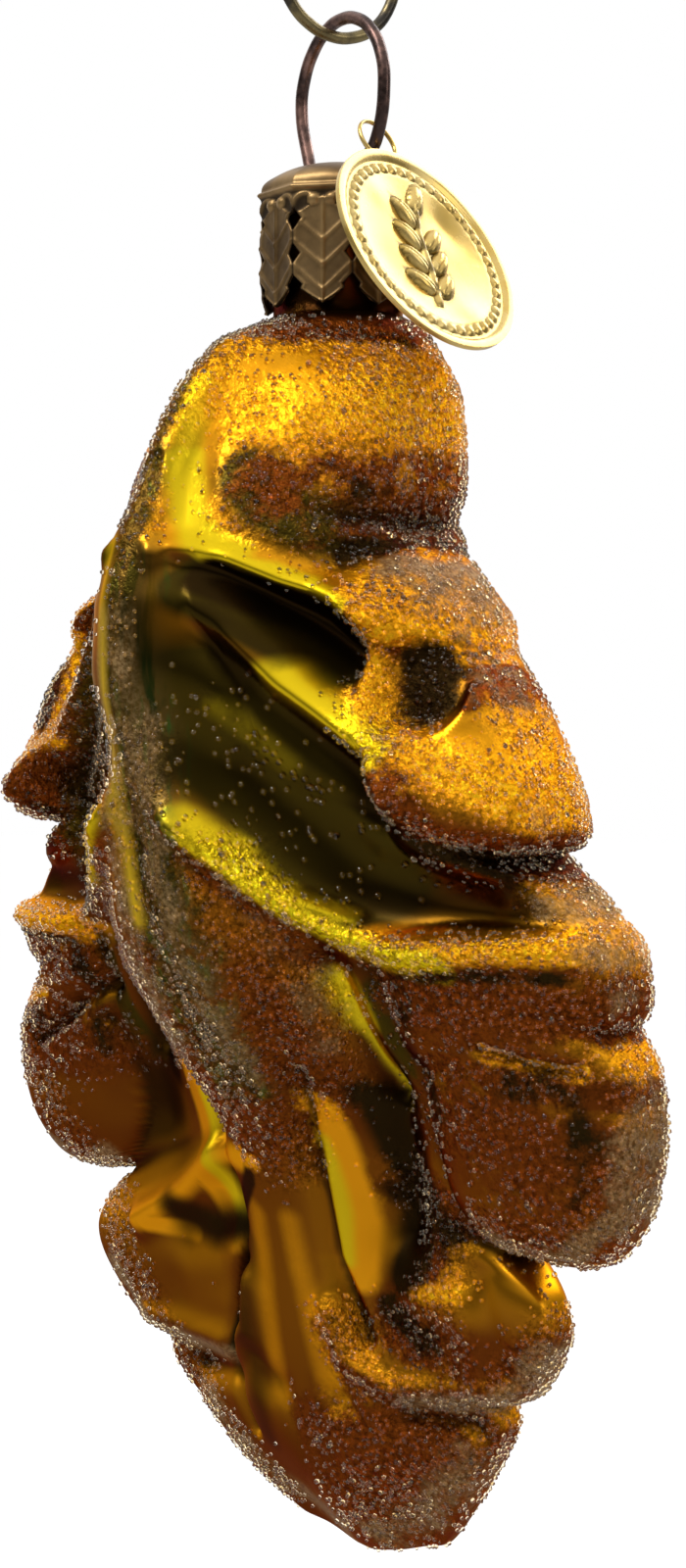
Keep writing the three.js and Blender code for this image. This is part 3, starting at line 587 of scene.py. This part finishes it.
# skyward is how far the surface faces up, and sunken how deep it lies below the levelled leaf. The lacquer
# # paints light by them: a highlight on faces that look up, shade on faces that look down and in creases.
layers["skyward"] = outside[..., 2].ravel()
surface = placed.reshape(rows + 1, columns + 1, 3)
wrap = 16
levelled = np.concatenate([surface[:, -wrap - 1 : -1], surface, surface[:, 1 : wrap + 1]], 1)
for axis in (0, 0, 1, 1):
    levelled = running_mean(levelled, axis, 13)
layers["sunken"] = ((levelled[:, wrap:-wrap] - surface) * outside).sum(-1).ravel()
for name, values in layers.items():
    layer = bm.verts.layers.float.new(name)
    for vertex, value in zip(bm.verts, values):
        vertex[layer] = value
bmesh.ops.remove_doubles(bm, verts=bm.verts, dist=1e-6)
for edges_low in (False, True):
    rim = [e for e in bm.edges if e.is_boundary and (e.verts[0].co.z < -60 * mm) == edges_low]
    if edges_low:
        bmesh.ops.edgeloop_fill(bm, edges=rim)
    else:
        for scale, drop in ((1 - glass_wall / neck_radius, 0), (1, -4)):
            made = bmesh.ops.extrude_edge_only(bm, edges=rim)["geom"]
            ring = [g for g in made if isinstance(g, bmesh.types.BMVert)]
            rim = [g for g in made if isinstance(g, bmesh.types.BMEdge) and g.is_boundary]
            bmesh.ops.scale(bm, verts=ring, vec=(scale, scale, 1))
            bmesh.ops.translate(bm, verts=ring, vec=(0, 0, drop * mm))
        bmesh.ops.edgeloop_fill(bm, edges=rim)
bmesh.ops.recalc_face_normals(bm, faces=bm.faces)
leaf = make_piece(bm, "leaf_glass")


def new_finish(name):
    material = bpy.data.materials.new(name)
    material.use_nodes = True
    return material, material.node_tree, material.node_tree.nodes["Principled BSDF"]


def value_of(tree, name):
    node = tree.nodes.new("ShaderNodeAttribute")
    node.attribute_name = name
    return node.outputs["Fac"]


def calculate(tree, operation, first, second=None, clamp=False):
    node = tree.nodes.new("ShaderNodeMath")
    node.operation = operation
    node.use_clamp = clamp
    for socket, value in zip(node.inputs, (first, second)):
        if isinstance(value, (int, float)):
            socket.default_value = value
        elif value is not None:
            tree.links.new(value, socket)
    return node.outputs[0]


def grain(tree, scale, detail=3, roughness=0.5, stretch=1):
    """Noise on Object coordinates, so many to the metre, and longer up and down by stretch."""
    place = tree.nodes.new("ShaderNodeTexCoord")
    squeezed = tree.nodes.new("ShaderNodeMapping")
    squeezed.inputs["Scale"].default_value = (1, 1, 1 / stretch)
    tree.links.new(place.outputs["Object"], squeezed.inputs["Vector"])
    noise = tree.nodes.new("ShaderNodeTexNoise")
    noise.inputs["Scale"].default_value = scale
    noise.inputs["Detail"].default_value = detail
    noise.inputs["Roughness"].default_value = roughness
    tree.links.new(squeezed.outputs["Vector"], noise.inputs["Vector"])
    return noise.outputs["Fac"]


def between(tree, value, low, high, to_low=0, to_high=1):
    node = tree.nodes.new("ShaderNodeMapRange")
    node.interpolation_type = "SMOOTHSTEP"
    for name, number in (("From Min", low), ("From Max", high), ("To Min", to_low), ("To Max", to_high)):
        node.inputs[name].default_value = number
    tree.links.new(value, node.inputs["Value"])
    return node.outputs["Result"]


def tint(tree, share, below, above):
    """Mixes two colours, each a linear colour or a socket."""
    node = tree.nodes.new("ShaderNodeMix")
    node.data_type = "RGBA"
    tree.links.new(share, node.inputs[0])
    for socket, colour in ((node.inputs[6], below), (node.inputs[7], above)):
        if isinstance(colour, tuple):
            socket.default_value = (*colour, 1)
        else:
            tree.links.new(colour, socket)
    return node.outputs[2]


def roughen(tree, shader, height, depth, strength):
    """Bumps on a finish, depth in metres. strength is a number or a socket."""
    bump = tree.nodes.new("ShaderNodeBump")
    bump.inputs["Distance"].default_value = depth
    if isinstance(strength, (int, float)):
        bump.inputs["Strength"].default_value = strength
    else:
        tree.links.new(strength, bump.inputs["Strength"])
    tree.links.new(height, bump.inputs["Height"])
    tree.links.new(bump.outputs["Normal"], shader.inputs["Normal"])


lacquer, tree, shader = new_finish("amber lacquer over silver")
# Painted light: faces that look down are painted dark red-brown as shade, faces that look up bright gold as
# highlight.
painted_light_by_facing = between(tree, value_of(tree, "skyward"), -0.5, 0.6)
colour = tint(tree, painted_light_by_facing, (0.15, 0.036, 0.004), (0.72, 0.3, 0.008))
crackle = between(tree, value_of(tree, "frosting"), 0.15, 0.6, 0.1, 1.6)
blotch = calculate(tree, "MULTIPLY", calculate(tree, "SUBTRACT", grain(tree, 460, 7, 0.7), 0.5), crackle)
# Painted light among these hues: the dark one is painted shade and the bright gold painted highlight; the
# olive and rust are partly painted shade and the yellow-green partly painted highlight.
for name, hue, low, high in (
    ("olive_and_shade", (0.055, 0.036, 0.004), 0.1, 0.5),
    ("rust", (0.15, 0.034, 0.004), 0.3, 0.7),
    ("gold_highlight", (0.9, 0.37, 0.008), 0.3, 0.7),
    ("yellow_green_and_highlight", (0.8, 0.56, 0.01), 0.2, 0.8),
    ("deep", (0.022, 0.012, 0.003), 0.35, 0.75),
):
    crinkle = calculate(tree, "MULTIPLY", blotch, {"olive_and_shade": 0.2, "yellow_green_and_highlight": 0.5}.get(name, 1))
    edge = calculate(tree, "ADD", value_of(tree, name), crinkle)
    colour = tint(tree, between(tree, edge, low, high), colour, hue)
streak = grain(tree, 700, 3, 0.6, 9)
banded = tint(tree, between(tree, streak, 0.36, 0.5), (0.014, 0.026, 0.005), (0.09, 0.055, 0.012))
banded = tint(tree, between(tree, streak, 0.52, 0.66), banded, (0.045, 0.09, 0.016))
along_rib = between(tree, calculate(tree, "ADD", value_of(tree, "midrib"), blotch), 0.3, 0.8)
colour = tint(tree, calculate(tree, "MULTIPLY", along_rib, 0.92), colour, banded)
# Painted shade: the lacquer is darkened where it lies sunken in creases, except where the yellow-green
# strokes lie.
crease_shade = between(tree, value_of(tree, "sunken"), 0.05, 0.7)
crease_shade = calculate(tree, "SUBTRACT", crease_shade, value_of(tree, "yellow_green_and_highlight"), clamp=True)
colour = tint(tree, calculate(tree, "MULTIPLY", crease_shade, 0.85), colour, (0.016, 0.008, 0.002))
ragged = calculate(tree, "SUBTRACT", grain(tree, 1500, 5, 0.75), 0.5)
cover = between(tree, calculate(tree, "ADD", value_of(tree, "frosting"), ragged), 0.25, 0.95)
# Where frosted, the colour is scaled by fine noise from 0.5 to 1.6: random tone in the frost and painted
# glints.
glint_speck = between(tree, grain(tree, 2300, 4, 0.7), 0.34, 0.62, 0.5, 1.6)
crusted = tree.nodes.new("ShaderNodeVectorMath")
crusted.operation = "SCALE"
tree.links.new(colour, crusted.inputs["Vector"])
tree.links.new(glint_speck, crusted.inputs["Scale"])
colour = tint(tree, cover, colour, crusted.outputs["Vector"])
crust = between(tree, calculate(tree, "ADD", value_of(tree, "hoar"), blotch), 0.35, 0.95)
grit = between(tree, grain(tree, 3200, 3, 0.7), 0.35, 0.65)
grit = tint(tree, grit, (0.14, 0.07, 0.022), (0.5, 0.32, 0.14))
colour = tint(tree, calculate(tree, "MULTIPLY", crust, 0.75), colour, grit)
colour = tint(tree, value_of(tree, "gilt_groove"), colour, (0.75, 0.48, 0.02))
tree.links.new(colour, shader.inputs["Base Color"])
tree.links.new(between(tree, crust, 0, 1, 0.92, 0.4), shader.inputs["Metallic"])
dull = calculate(tree, "MAXIMUM", crust, calculate(tree, "MULTIPLY", value_of(tree, "satin"), 1.2))
tree.links.new(between(tree, dull, 0, 1, 0.28, 0.5), shader.inputs["Roughness"])
shader.inputs["Specular Tint"].default_value = (0.75, 0.4, 0.1, 1)
roughen(tree, shader, grain(tree, 2100, 4, 0.6), 0.5 * mm, calculate(tree, "MULTIPLY", cover, 0.9))
leaf.data.materials.append(lacquer)
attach(leaf, "ornament")
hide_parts("glass_leaf")

# Frost: thousands of tiny clear glass beads, sifted onto the wet lacquer where it was brushed with glue.
# They lie thickest on the midrib, the bulb and the rims, and a few stray ones lie between the veins.
frost_seed = 7
frost_count = 34000
stray_count = 420
bead_sizes = (0.1, 0.2)
stray_size = 0.24
stray_field = ((4.5, 31), (9, 34), (12, 38))
beads_to_a_piece = 7800
bead_spacing = 0.23
bead_rise = 0.45
ball_corners = 12

chance = np.random.default_rng(frost_seed)
corners = np.array([v.co for v in leaf.data.vertices]) / mm
outwards = np.array([v.normal for v in leaf.data.vertices])
glued = np.array([value.value for value in leaf.data.attributes["frosting"].data])
quads = np.array([polygon.vertices[:] for polygon in leaf.data.polygons if len(polygon.vertices) == 4])
size = np.array([polygon.area for polygon in leaf.data.polygons if len(polygon.vertices) == 4]) / mm**2
middle = corners[quads].mean(1)
on_leaf = middle[:, 2] + neck_drop < -1
thick = np.clip(glued[quads].mean(1) - 0.12, 0, 1) ** 1.3 * size * on_leaf
stray = np.exp(-((distance_to(stray_field, np.abs(middle[:, 0]), -middle[:, 2] - neck_drop) / 4.5) ** 2))
stray = stray * size * (middle[:, 1] < -6) * on_leaf


def sprinkle(weights, count):
    """Bead centres and the outward directions under them, on faces picked by weight."""
    chosen = quads[chance.choice(len(quads), count, p=weights / weights.sum())]
    u, v = chance.random((2, count, 1))
    blend = np.stack([(1 - u) * (1 - v), u * (1 - v), u * v, (1 - u) * v], 1)
    return (corners[chosen] * blend).sum(1), (outwards[chosen] * blend).sum(1)


def thin_out(places, gap):
    """Keeps one bead to each small cube of space."""
    cells = np.floor(places / gap).astype(int)
    return np.sort(np.unique(cells, axis=0, return_index=True)[1])


frost_places, frost_out = sprinkle(thick, frost_count)
kept = thin_out(frost_places, bead_spacing)
frost_places, frost_out = frost_places[kept], frost_out[kept]
frost_radius = chance.uniform(*bead_sizes, len(kept))
stray_places, stray_out = sprinkle(stray, stray_count)
stray_radius = np.full(stray_count, stray_size)
bead_radius = np.concatenate([frost_radius, stray_radius])
bead_out = np.concatenate([frost_out, stray_out])
bead_place = np.concatenate([frost_places, stray_places]) + bead_out * bead_radius[:, None] * bead_rise

bead_glass, tree, shader = new_finish("clear glass microbeads")
shader.inputs["Roughness"].default_value = 0.06
shader.inputs["IOR"].default_value = 1.5
shader.inputs["Transmission Weight"].default_value = 1
tree.links.new(
    tint(tree, grain(tree, 5000, 1), (0.95, 0.8, 0.55), (1.0, 0.95, 0.8)), shader.inputs["Base Color"],
)
for first in range(0, len(bead_place), beads_to_a_piece):
    places = bead_place[first : first + beads_to_a_piece]
    radii = bead_radius[first : first + beads_to_a_piece]
    bm = bmesh.new()
    bmesh.ops.create_icosphere(bm, subdivisions=1, radius=1)
    while len(bm.verts) < ball_corners * len(places):
        made = len(bm.verts) // ball_corners
        bm.verts.ensure_lookup_table()
        copied = bm.verts[: ball_corners * min(made, len(places) - made)]
        edges = {e for v in copied for e in v.link_edges}
        faces = {f for v in copied for f in v.link_faces}
        bmesh.ops.duplicate(bm, geom=copied + list(edges) + list(faces))
    ball = np.array([v.co for v in bm.verts]).reshape(-1, ball_corners, 3)
    balls = (ball * radii[:, None, None] + places[:, None]) * mm
    for vertex, place in zip(bm.verts, balls.reshape(-1, 3)):
        vertex.co = place
    beads = make_piece(bm, f"frost_beads_{first // beads_to_a_piece + 1}")
    beads.data.materials.append(bead_glass)
    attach(beads, "ornament")

# Cap: a cup stamped from thin brass sheet and antiqued brown, with a domed top, a rolled rim and eight
# holly-leaf tabs round its skirt. It is pushed over the glass neck.
cap_turn = math.radians(-15)
cap_tabs = 8
cap_sheet = 0.3
cap_flat = 5.15
cap_skirt = 8.2
cap_top = 10.3
wire_hole = 0.85
wire_hole_out = 3.25
tab_half = cap_flat * math.tan(math.pi / cap_tabs)
tab_sides = (
    (-0.1, 0.03), (0.5, 1.0), (0.95, 1.62), (1.25, 1.5), (1.9, tab_half), (2.75, tab_half), (3.4, 1.66),
    (4.05, tab_half), (5.0, tab_half), (5.8, 1.58), (6.6, tab_half), (12, tab_half),
)
tab_columns = 26
skirt_rows = 92
dome_rows = 24


def soft_spot(x, z, at_x, at_z, reach_x, reach_z):
    """A small dome that is 1 at its middle."""
    away = ((x - at_x) / reach_x) ** 2 + ((z - at_z) / reach_z) ** 2
    return np.sqrt(np.clip(1 - away, 0, 1))


def tab_relief(x, z):
    """Height of the stamped holly leaf, its two berries and the rolled rim at a place on a tab."""
    half = np.interp(z, [p[0] for p in tab_sides], [p[1] for p in tab_sides])
    leaf_half = np.where(z < 6.3, half, np.clip((7.3 - z) * 1.6, 0, half))
    inside = ease(0, 0.22, leaf_half - np.abs(x))
    edge = np.exp(-(((leaf_half - np.abs(x) - 0.2) / 0.11) ** 2))
    relief = inside * (0.1 + 0.1 * edge + 0.14 * np.exp(-((x / 0.13) ** 2)))
    for start in (0.8, 2.5, 4.2):
        vein = np.abs(z - start - 0.9 * np.abs(x)) * 0.75
        relief = relief + 0.1 * inside * np.exp(-((vein / 0.1) ** 2))
    for side in (-1, 1):
        relief = np.maximum(relief, 0.34 * soft_spot(x, z, side * 0.62, 7.05, 0.5, 0.46))
        arch = np.hypot(x - side * 1.25, (z - 6.55) * 0.9)
        relief = np.maximum(relief, 0.17 * np.exp(-(((arch - 0.85) / 0.16) ** 2)) * ease(6.4, 6.9, z))
    rim = 0.3 * np.exp(-(((z - 7.95) / 0.22) ** 2))
    return np.maximum(relief, rim) - 0.12


bm = bmesh.new()
bmesh.ops.create_grid(bm, x_segments=tab_columns, y_segments=skirt_rows + dome_rows, size=1)
grid = np.array([v.co for v in bm.verts])
step = (grid[:, 1] + 1) / 2 * (skirt_rows + dome_rows)
z = tab_sides[0][0] + (cap_skirt - tab_sides[0][0]) * np.minimum(step / skirt_rows, 1)
half = np.interp(z, [p[0] for p in tab_sides], [p[1] for p in tab_sides])
rise = np.maximum(step - skirt_rows, 0) / dome_rows * math.pi / 2
around = np.arctan(grid[:, 0] * half / cap_flat)
shrink = np.cos(rise)
rounded = ease(0, 0.9, rise)
relief = np.where(rise > 0, 0, tab_relief(grid[:, 0] * half, z))
worn_down = np.where(rise > 0, 0.06, relief)
radius = shrink * cap_flat * (rounded + (1 - rounded) / np.cos(around)) + relief
radius = np.where(rise > 0, radius - 0.12 * shrink * ease(0.4, 0, rise), radius)
height = z + (cap_top - cap_skirt) * np.sin(rise)
raised = bm.verts.layers.float.new("raised")
for vertex, r, a, h, lift in zip(bm.verts, radius * mm, around, height * mm, worn_down):
    vertex.co = (r * math.sin(a), -r * math.cos(a), h)
    vertex[raised] = lift
bmesh.ops.spin(
    bm, geom=bm.verts[:] + bm.edges[:] + bm.faces[:], cent=(0, 0, 0), axis=(0, 0, 1),
    angle=2 * math.pi / cap_tabs * (cap_tabs - 1), steps=cap_tabs - 1, use_duplicate=True,
)
bmesh.ops.remove_doubles(bm, verts=bm.verts, dist=0.02 * mm)
for side in (-1, 1):
    middle = Vector((side * wire_hole_out * mm, 0, 0))
    cut = [f for f in bm.faces if f.calc_center_median().z > cap_skirt * mm
           and (f.calc_center_median().xy - middle.xy).length < wire_hole * mm]
    bmesh.ops.delete(bm, geom=cut, context="FACES")
    for vertex in bm.verts:
        out = vertex.co.xy - middle.xy
        if vertex.is_boundary and vertex.co.z > cap_skirt * mm and out.length < 1.5 * wire_hole * mm:
            vertex.co.xy = middle.xy + out.normalized() * wire_hole * mm
bmesh.ops.recalc_face_normals(bm, faces=bm.faces)
bmesh.ops.rotate(bm, verts=bm.verts, cent=(0, 0, 0), matrix=Matrix.Rotation(cap_turn, 3, "Z"))
bmesh.ops.translate(bm, verts=bm.verts, vec=(0, 0, -neck_drop * mm))
cap = make_piece(bm, "stamped_cap")
wall = cap.modifiers.new("sheet", "SOLIDIFY")
wall.thickness = cap_sheet * mm
wall.offset = -1

bronze, tree, shader = new_finish("antiqued stamped brass")
uneven = calculate(tree, "MULTIPLY", grain(tree, 900, 4, 0.6), 0.12)
lifted = calculate(tree, "ADD", value_of(tree, "raised"), uneven)
worn = between(tree, lifted, -0.1, 0.16)
patina = tint(tree, between(tree, grain(tree, 240, 3), 0.35, 0.65), (0.17, 0.095, 0.032), (0.4, 0.25, 0.1))
tree.links.new(tint(tree, worn, (0.03, 0.019, 0.01), patina), shader.inputs["Base Color"])
tree.links.new(between(tree, worn, 0, 1, 0.6, 0.42), shader.inputs["Roughness"])
shader.inputs["Metallic"].default_value = 0.85
roughen(tree, shader, grain(tree, 1600, 3), 0.06 * mm, 0.35)
cap.data.materials.append(bronze)
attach(cap, "ornament")
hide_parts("cap")

# Hanger wire: one spring wire, bronze plated, bent to a ring above the cap. Its two legs go through the
# dome's holes and spring apart inside the neck, which holds the cap on.
wire_thick = 0.9
ring_across = 10.6
ring_middle = 15.1
ring_lean = 0.5
wire_legs = ((4.4, -5), (3.05, -1.667), (2.8, 2.08), (2.8, 8.327), (3.25, 9.775))
wire_waist = (4.346, 11.3)


def arc(middle_x, middle_z, radius, first, last, steps):
    turns = np.radians(np.linspace(first, last, steps + 1))
    return [(middle_x + radius * math.cos(t), middle_z + radius * math.sin(t)) for t in turns]


def round_wire(name, points, thick, plane_turn):
    """A bent wire through points (out, up) of an upright plane that is turned about the middle."""
    bend = bpy.data.curves.new(name, "CURVE")
    bend.dimensions = "3D"
    bend.bevel_depth = thick / 2 * mm
    bend.bevel_resolution = 5
    bend.resolution_u = 12
    bend.use_fill_caps = True
    line = bend.splines.new("BEZIER")
    line.bezier_points.add(len(points) - 1)
    for knot, (out, up) in zip(line.bezier_points, points):
        knot.co = (out * math.cos(plane_turn) * mm, out * math.sin(plane_turn) * mm, (up - neck_drop) * mm)
        knot.handle_left_type = knot.handle_right_type = "AUTO"
    piece = bpy.data.objects.new(name, bend)
    bpy.context.scene.collection.objects.link(piece)
    return piece


left_leg = [(-out, up) for out, up in wire_legs] + [(ring_lean - wire_waist[0], wire_waist[1])]
right_leg = [(ring_lean + wire_waist[0], wire_waist[1])] + list(wire_legs)[::-1]
hanger = round_wire(
    "bent_hanger_wire", left_leg + arc(ring_lean, ring_middle, ring_across / 2, 180, 0, 8) + right_leg,
    wire_thick, cap_turn,
)

plated, tree, shader = new_finish("dark bronze plating")
rubbed = between(tree, grain(tree, 420, 4, 0.6), 0.42, 0.66)
tree.links.new(tint(tree, rubbed, (0.075, 0.048, 0.042), (0.3, 0.17, 0.135)), shader.inputs["Base Color"])
tree.links.new(between(tree, grain(tree, 2600, 2), 0.3, 0.7, 0.24, 0.42), shader.inputs["Roughness"])
shader.inputs["Metallic"].default_value = 0.95
hanger.data.materials.append(plated)
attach(hanger, "ornament")
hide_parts("hanger_wire")

# Tag: a round blank of thin brass with an ear, threaded on the ring before the ring is closed. It is
# stamped with a border, a ring of beads and a plain leafy sprig, and is a little dented by handling.
tag_pivot = Vector((4.681, -1.254, 11.3))
tag_lean = math.radians(28)
tag_reach = 9.05
tag_radius = 8
tag_sheet = 0.35
ear_radius = 1.75
ear_hole = 1.5
ear_hang = 0.2
bead_ring = 6.55
bead_ring_half = 22
tag_rings = 66
tag_spokes = 180
sprig_stem = ((-0.9, -4.4), (-0.15, -1.6), (0.2, 1.4), (0.9, 3.4))
sprig_leaves = (
    (-1.75, -2.7, 140), (0.75, -2.75, 48), (-1.35, -0.75, 136), (1.25, -0.8, 46), (-1.05, 1.2, 132),
    (1.6, 1.1, 44), (-0.5, 3.05, 124), (1.3, 4.35, 66),
)
tag_dents = ((3.6, 2.4, 1.5, -0.22), (-4.2, -1.6, 1.9, -0.16), (2.2, -4.6, 1.6, 0.16), (-2.6, 4.5, 1.4, 0.1))


def tag_relief(x, y):
    """Height of the stamped face at a place on the disc, and the painted shade and dark reflection there."""
    out = np.hypot(x, y)
    face = -0.34 * (1 - np.minimum(out / 6, 1) ** 2) + 0.22 * ease(7.15, 7.6, out)
    turned = np.arctan2(y, x) * bead_ring_half / math.pi
    bead = np.hypot((turned - np.round(turned)) * math.pi * bead_ring / bead_ring_half, out - bead_ring)
    face = face + 0.2 * np.sqrt(np.clip(1 - (bead / 0.36) ** 2, 0, 1))
    stem = distance_to(sprig_stem, x, y)
    motif = 0.34 * np.exp(-((stem / 0.2) ** 2))
    sprig_shade = 0.7 * np.exp(-(((stem - 0.34) / 0.14) ** 2)) + 0.5 * np.exp(-(((bead - 0.42) / 0.12) ** 2))
    for at_x, at_y, turn in sprig_leaves:
        c, s = math.cos(math.radians(turn)), math.sin(math.radians(turn))
        along, side = (x - at_x) * c + (y - at_y) * s, -(x - at_x) * s + (y - at_y) * c
        oval = (along / 1.35) ** 2 + (side / (0.56 - 0.16 * along / 1.35)) ** 2
        blade = 0.55 * np.sqrt(np.clip(1 - oval, 0, 1)) - 0.14 * np.exp(-((side / 0.1) ** 2)) * (oval < 1)
        shade = np.exp(-(((oval - 1.15) / (0.5 - 0.25 * np.sign(side))) ** 2))
        sprig_shade = np.maximum(sprig_shade * (oval > 0.8), shade)
        motif = np.maximum(motif, blade)
    for at_x, at_y, reach, lift in tag_dents:
        face = face + lift * np.exp(-((x - at_x) ** 2 + (y - at_y) ** 2) / reach**2)
    return face + motif, sprig_shade


def lay_on_tag(points):
    """Puts points (across, up, out) of the tag's own sheet where the tag hangs."""
    up = np.array([-math.sin(tag_lean), 0, math.cos(tag_lean)])
    out = np.array([math.cos(tag_lean), 0, math.sin(tag_lean)])
    middle = np.array(tag_pivot) - up * ear_hang - (0, 0, neck_drop)
    return middle + points[:, :1] * np.array([0, 1, 0]) + points[:, 1:2] * up + points[:, 2:] * out


bm = bmesh.new()
bmesh.ops.create_grid(bm, x_segments=tag_spokes, y_segments=tag_rings, size=1)
grid = np.array([v.co for v in bm.verts])
out = (grid[:, 1] + 1) / 2 * tag_radius
x, y = out * np.cos(grid[:, 0] * math.pi), out * np.sin(grid[:, 0] * math.pi)
relief, sprig_shade = tag_relief(x, y)
raised, shaded = bm.verts.layers.float.new("raised"), bm.verts.layers.float.new("shaded")
laid = lay_on_tag(np.stack([x, y - tag_reach, relief], -1)) * mm
for vertex, place, lift, dark in zip(bm.verts, laid, relief, sprig_shade):
    vertex.co = place
    vertex[raised], vertex[shaded] = lift, dark
bmesh.ops.remove_doubles(bm, verts=bm.verts, dist=0.001 * mm)
bmesh.ops.recalc_face_normals(bm, faces=bm.faces)
tag = make_piece(bm, "stamped_tag")
wall = tag.modifiers.new("sheet", "SOLIDIFY")
wall.thickness = tag_sheet * mm
wall.offset = 0
edge = tag.modifiers.new("rubbed edge", "BEVEL")
edge.width = 0.08 * mm
edge.segments = 2
edge.limit_method = "ANGLE"
edge.angle_limit = math.radians(50)

bm = bmesh.new()
bmesh.ops.create_circle(bm, segments=12, radius=0.5)
section = np.array([v.co for v in bm.verts])
breadth = (ear_radius - ear_hole) / 2
for vertex, (a, b, _) in zip(bm.verts, section):
    vertex.co = ((ear_hole + breadth + 2 * breadth * a) * mm, 0, b * tag_sheet * 0.94 * mm)
bmesh.ops.spin(
    bm, geom=bm.verts[:] + bm.edges[:], cent=(0, 0, 0), axis=(0, 0, 1), angle=2 * math.pi, steps=48,
    use_merge=True,
)
bmesh.ops.recalc_face_normals(bm, faces=bm.faces)
ear_points = lay_on_tag(np.array([v.co for v in bm.verts]) / mm) * mm
for vertex, place in zip(bm.verts, ear_points):
    vertex.co = place
ear = make_piece(bm, "tag_ear")

brass, tree, shader = new_finish("polished brass sheet")
# Painted shade: the polished sheet is darker in its stamped hollows.
hollow = between(tree, value_of(tree, "raised"), -0.36, 0.1)
smeared = between(tree, grain(tree, 330, 4, 0.6), 0.3, 0.7)
lustre = tint(tree, smeared, (0.78, 0.51, 0.12), (0.86, 0.64, 0.24))
lustre = tint(tree, hollow, (0.62, 0.4, 0.08), lustre)
# Painted shade and dark reflection round the sprig and the beads, wider on one side of each leaf.
lustre = tint(tree, calculate(tree, "MULTIPLY", value_of(tree, "shaded"), 0.85), lustre, (0.1, 0.065, 0.012))
tree.links.new(lustre, shader.inputs["Base Color"])
tree.links.new(between(tree, smeared, 0, 1, 0.2, 0.32), shader.inputs["Roughness"])
shader.inputs["Metallic"].default_value = 0.75
roughen(tree, shader, grain(tree, 700, 3), 0.05 * mm, 0.15)
for piece in (tag, ear):
    piece.data.materials.append(brass)
    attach(piece, "tag")
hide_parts("tag")

# Hook: one piece of antique brass wire bent to an S. The ring hangs in its lower bend, and its upper
# bend goes over a twig.
hook_thick = 0.85
hook_plane = cap_turn + math.pi / 2
hook_lower = arc(0, 24.025, 4.8, 150, 375, 10)
hook_upper = arc(0, 44.725, 6.5, 200, -35, 10)
hook = round_wire("bent_hook", hook_lower + hook_upper, hook_thick, hook_plane)

aged, tree, shader = new_finish("antique brass wire")
darkened = between(tree, grain(tree, 300, 4, 0.6), 0.4, 0.62)
tree.links.new(tint(tree, darkened, (0.24, 0.185, 0.085), (0.055, 0.048, 0.04)), shader.inputs["Base Color"])
tree.links.new(between(tree, grain(tree, 2400, 2), 0.3, 0.7, 0.26, 0.44), shader.inputs["Roughness"])
shader.inputs["Metallic"].default_value = 0.95
hook.data.materials.append(aged)
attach(hook, "hook")
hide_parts("ornament_hook")
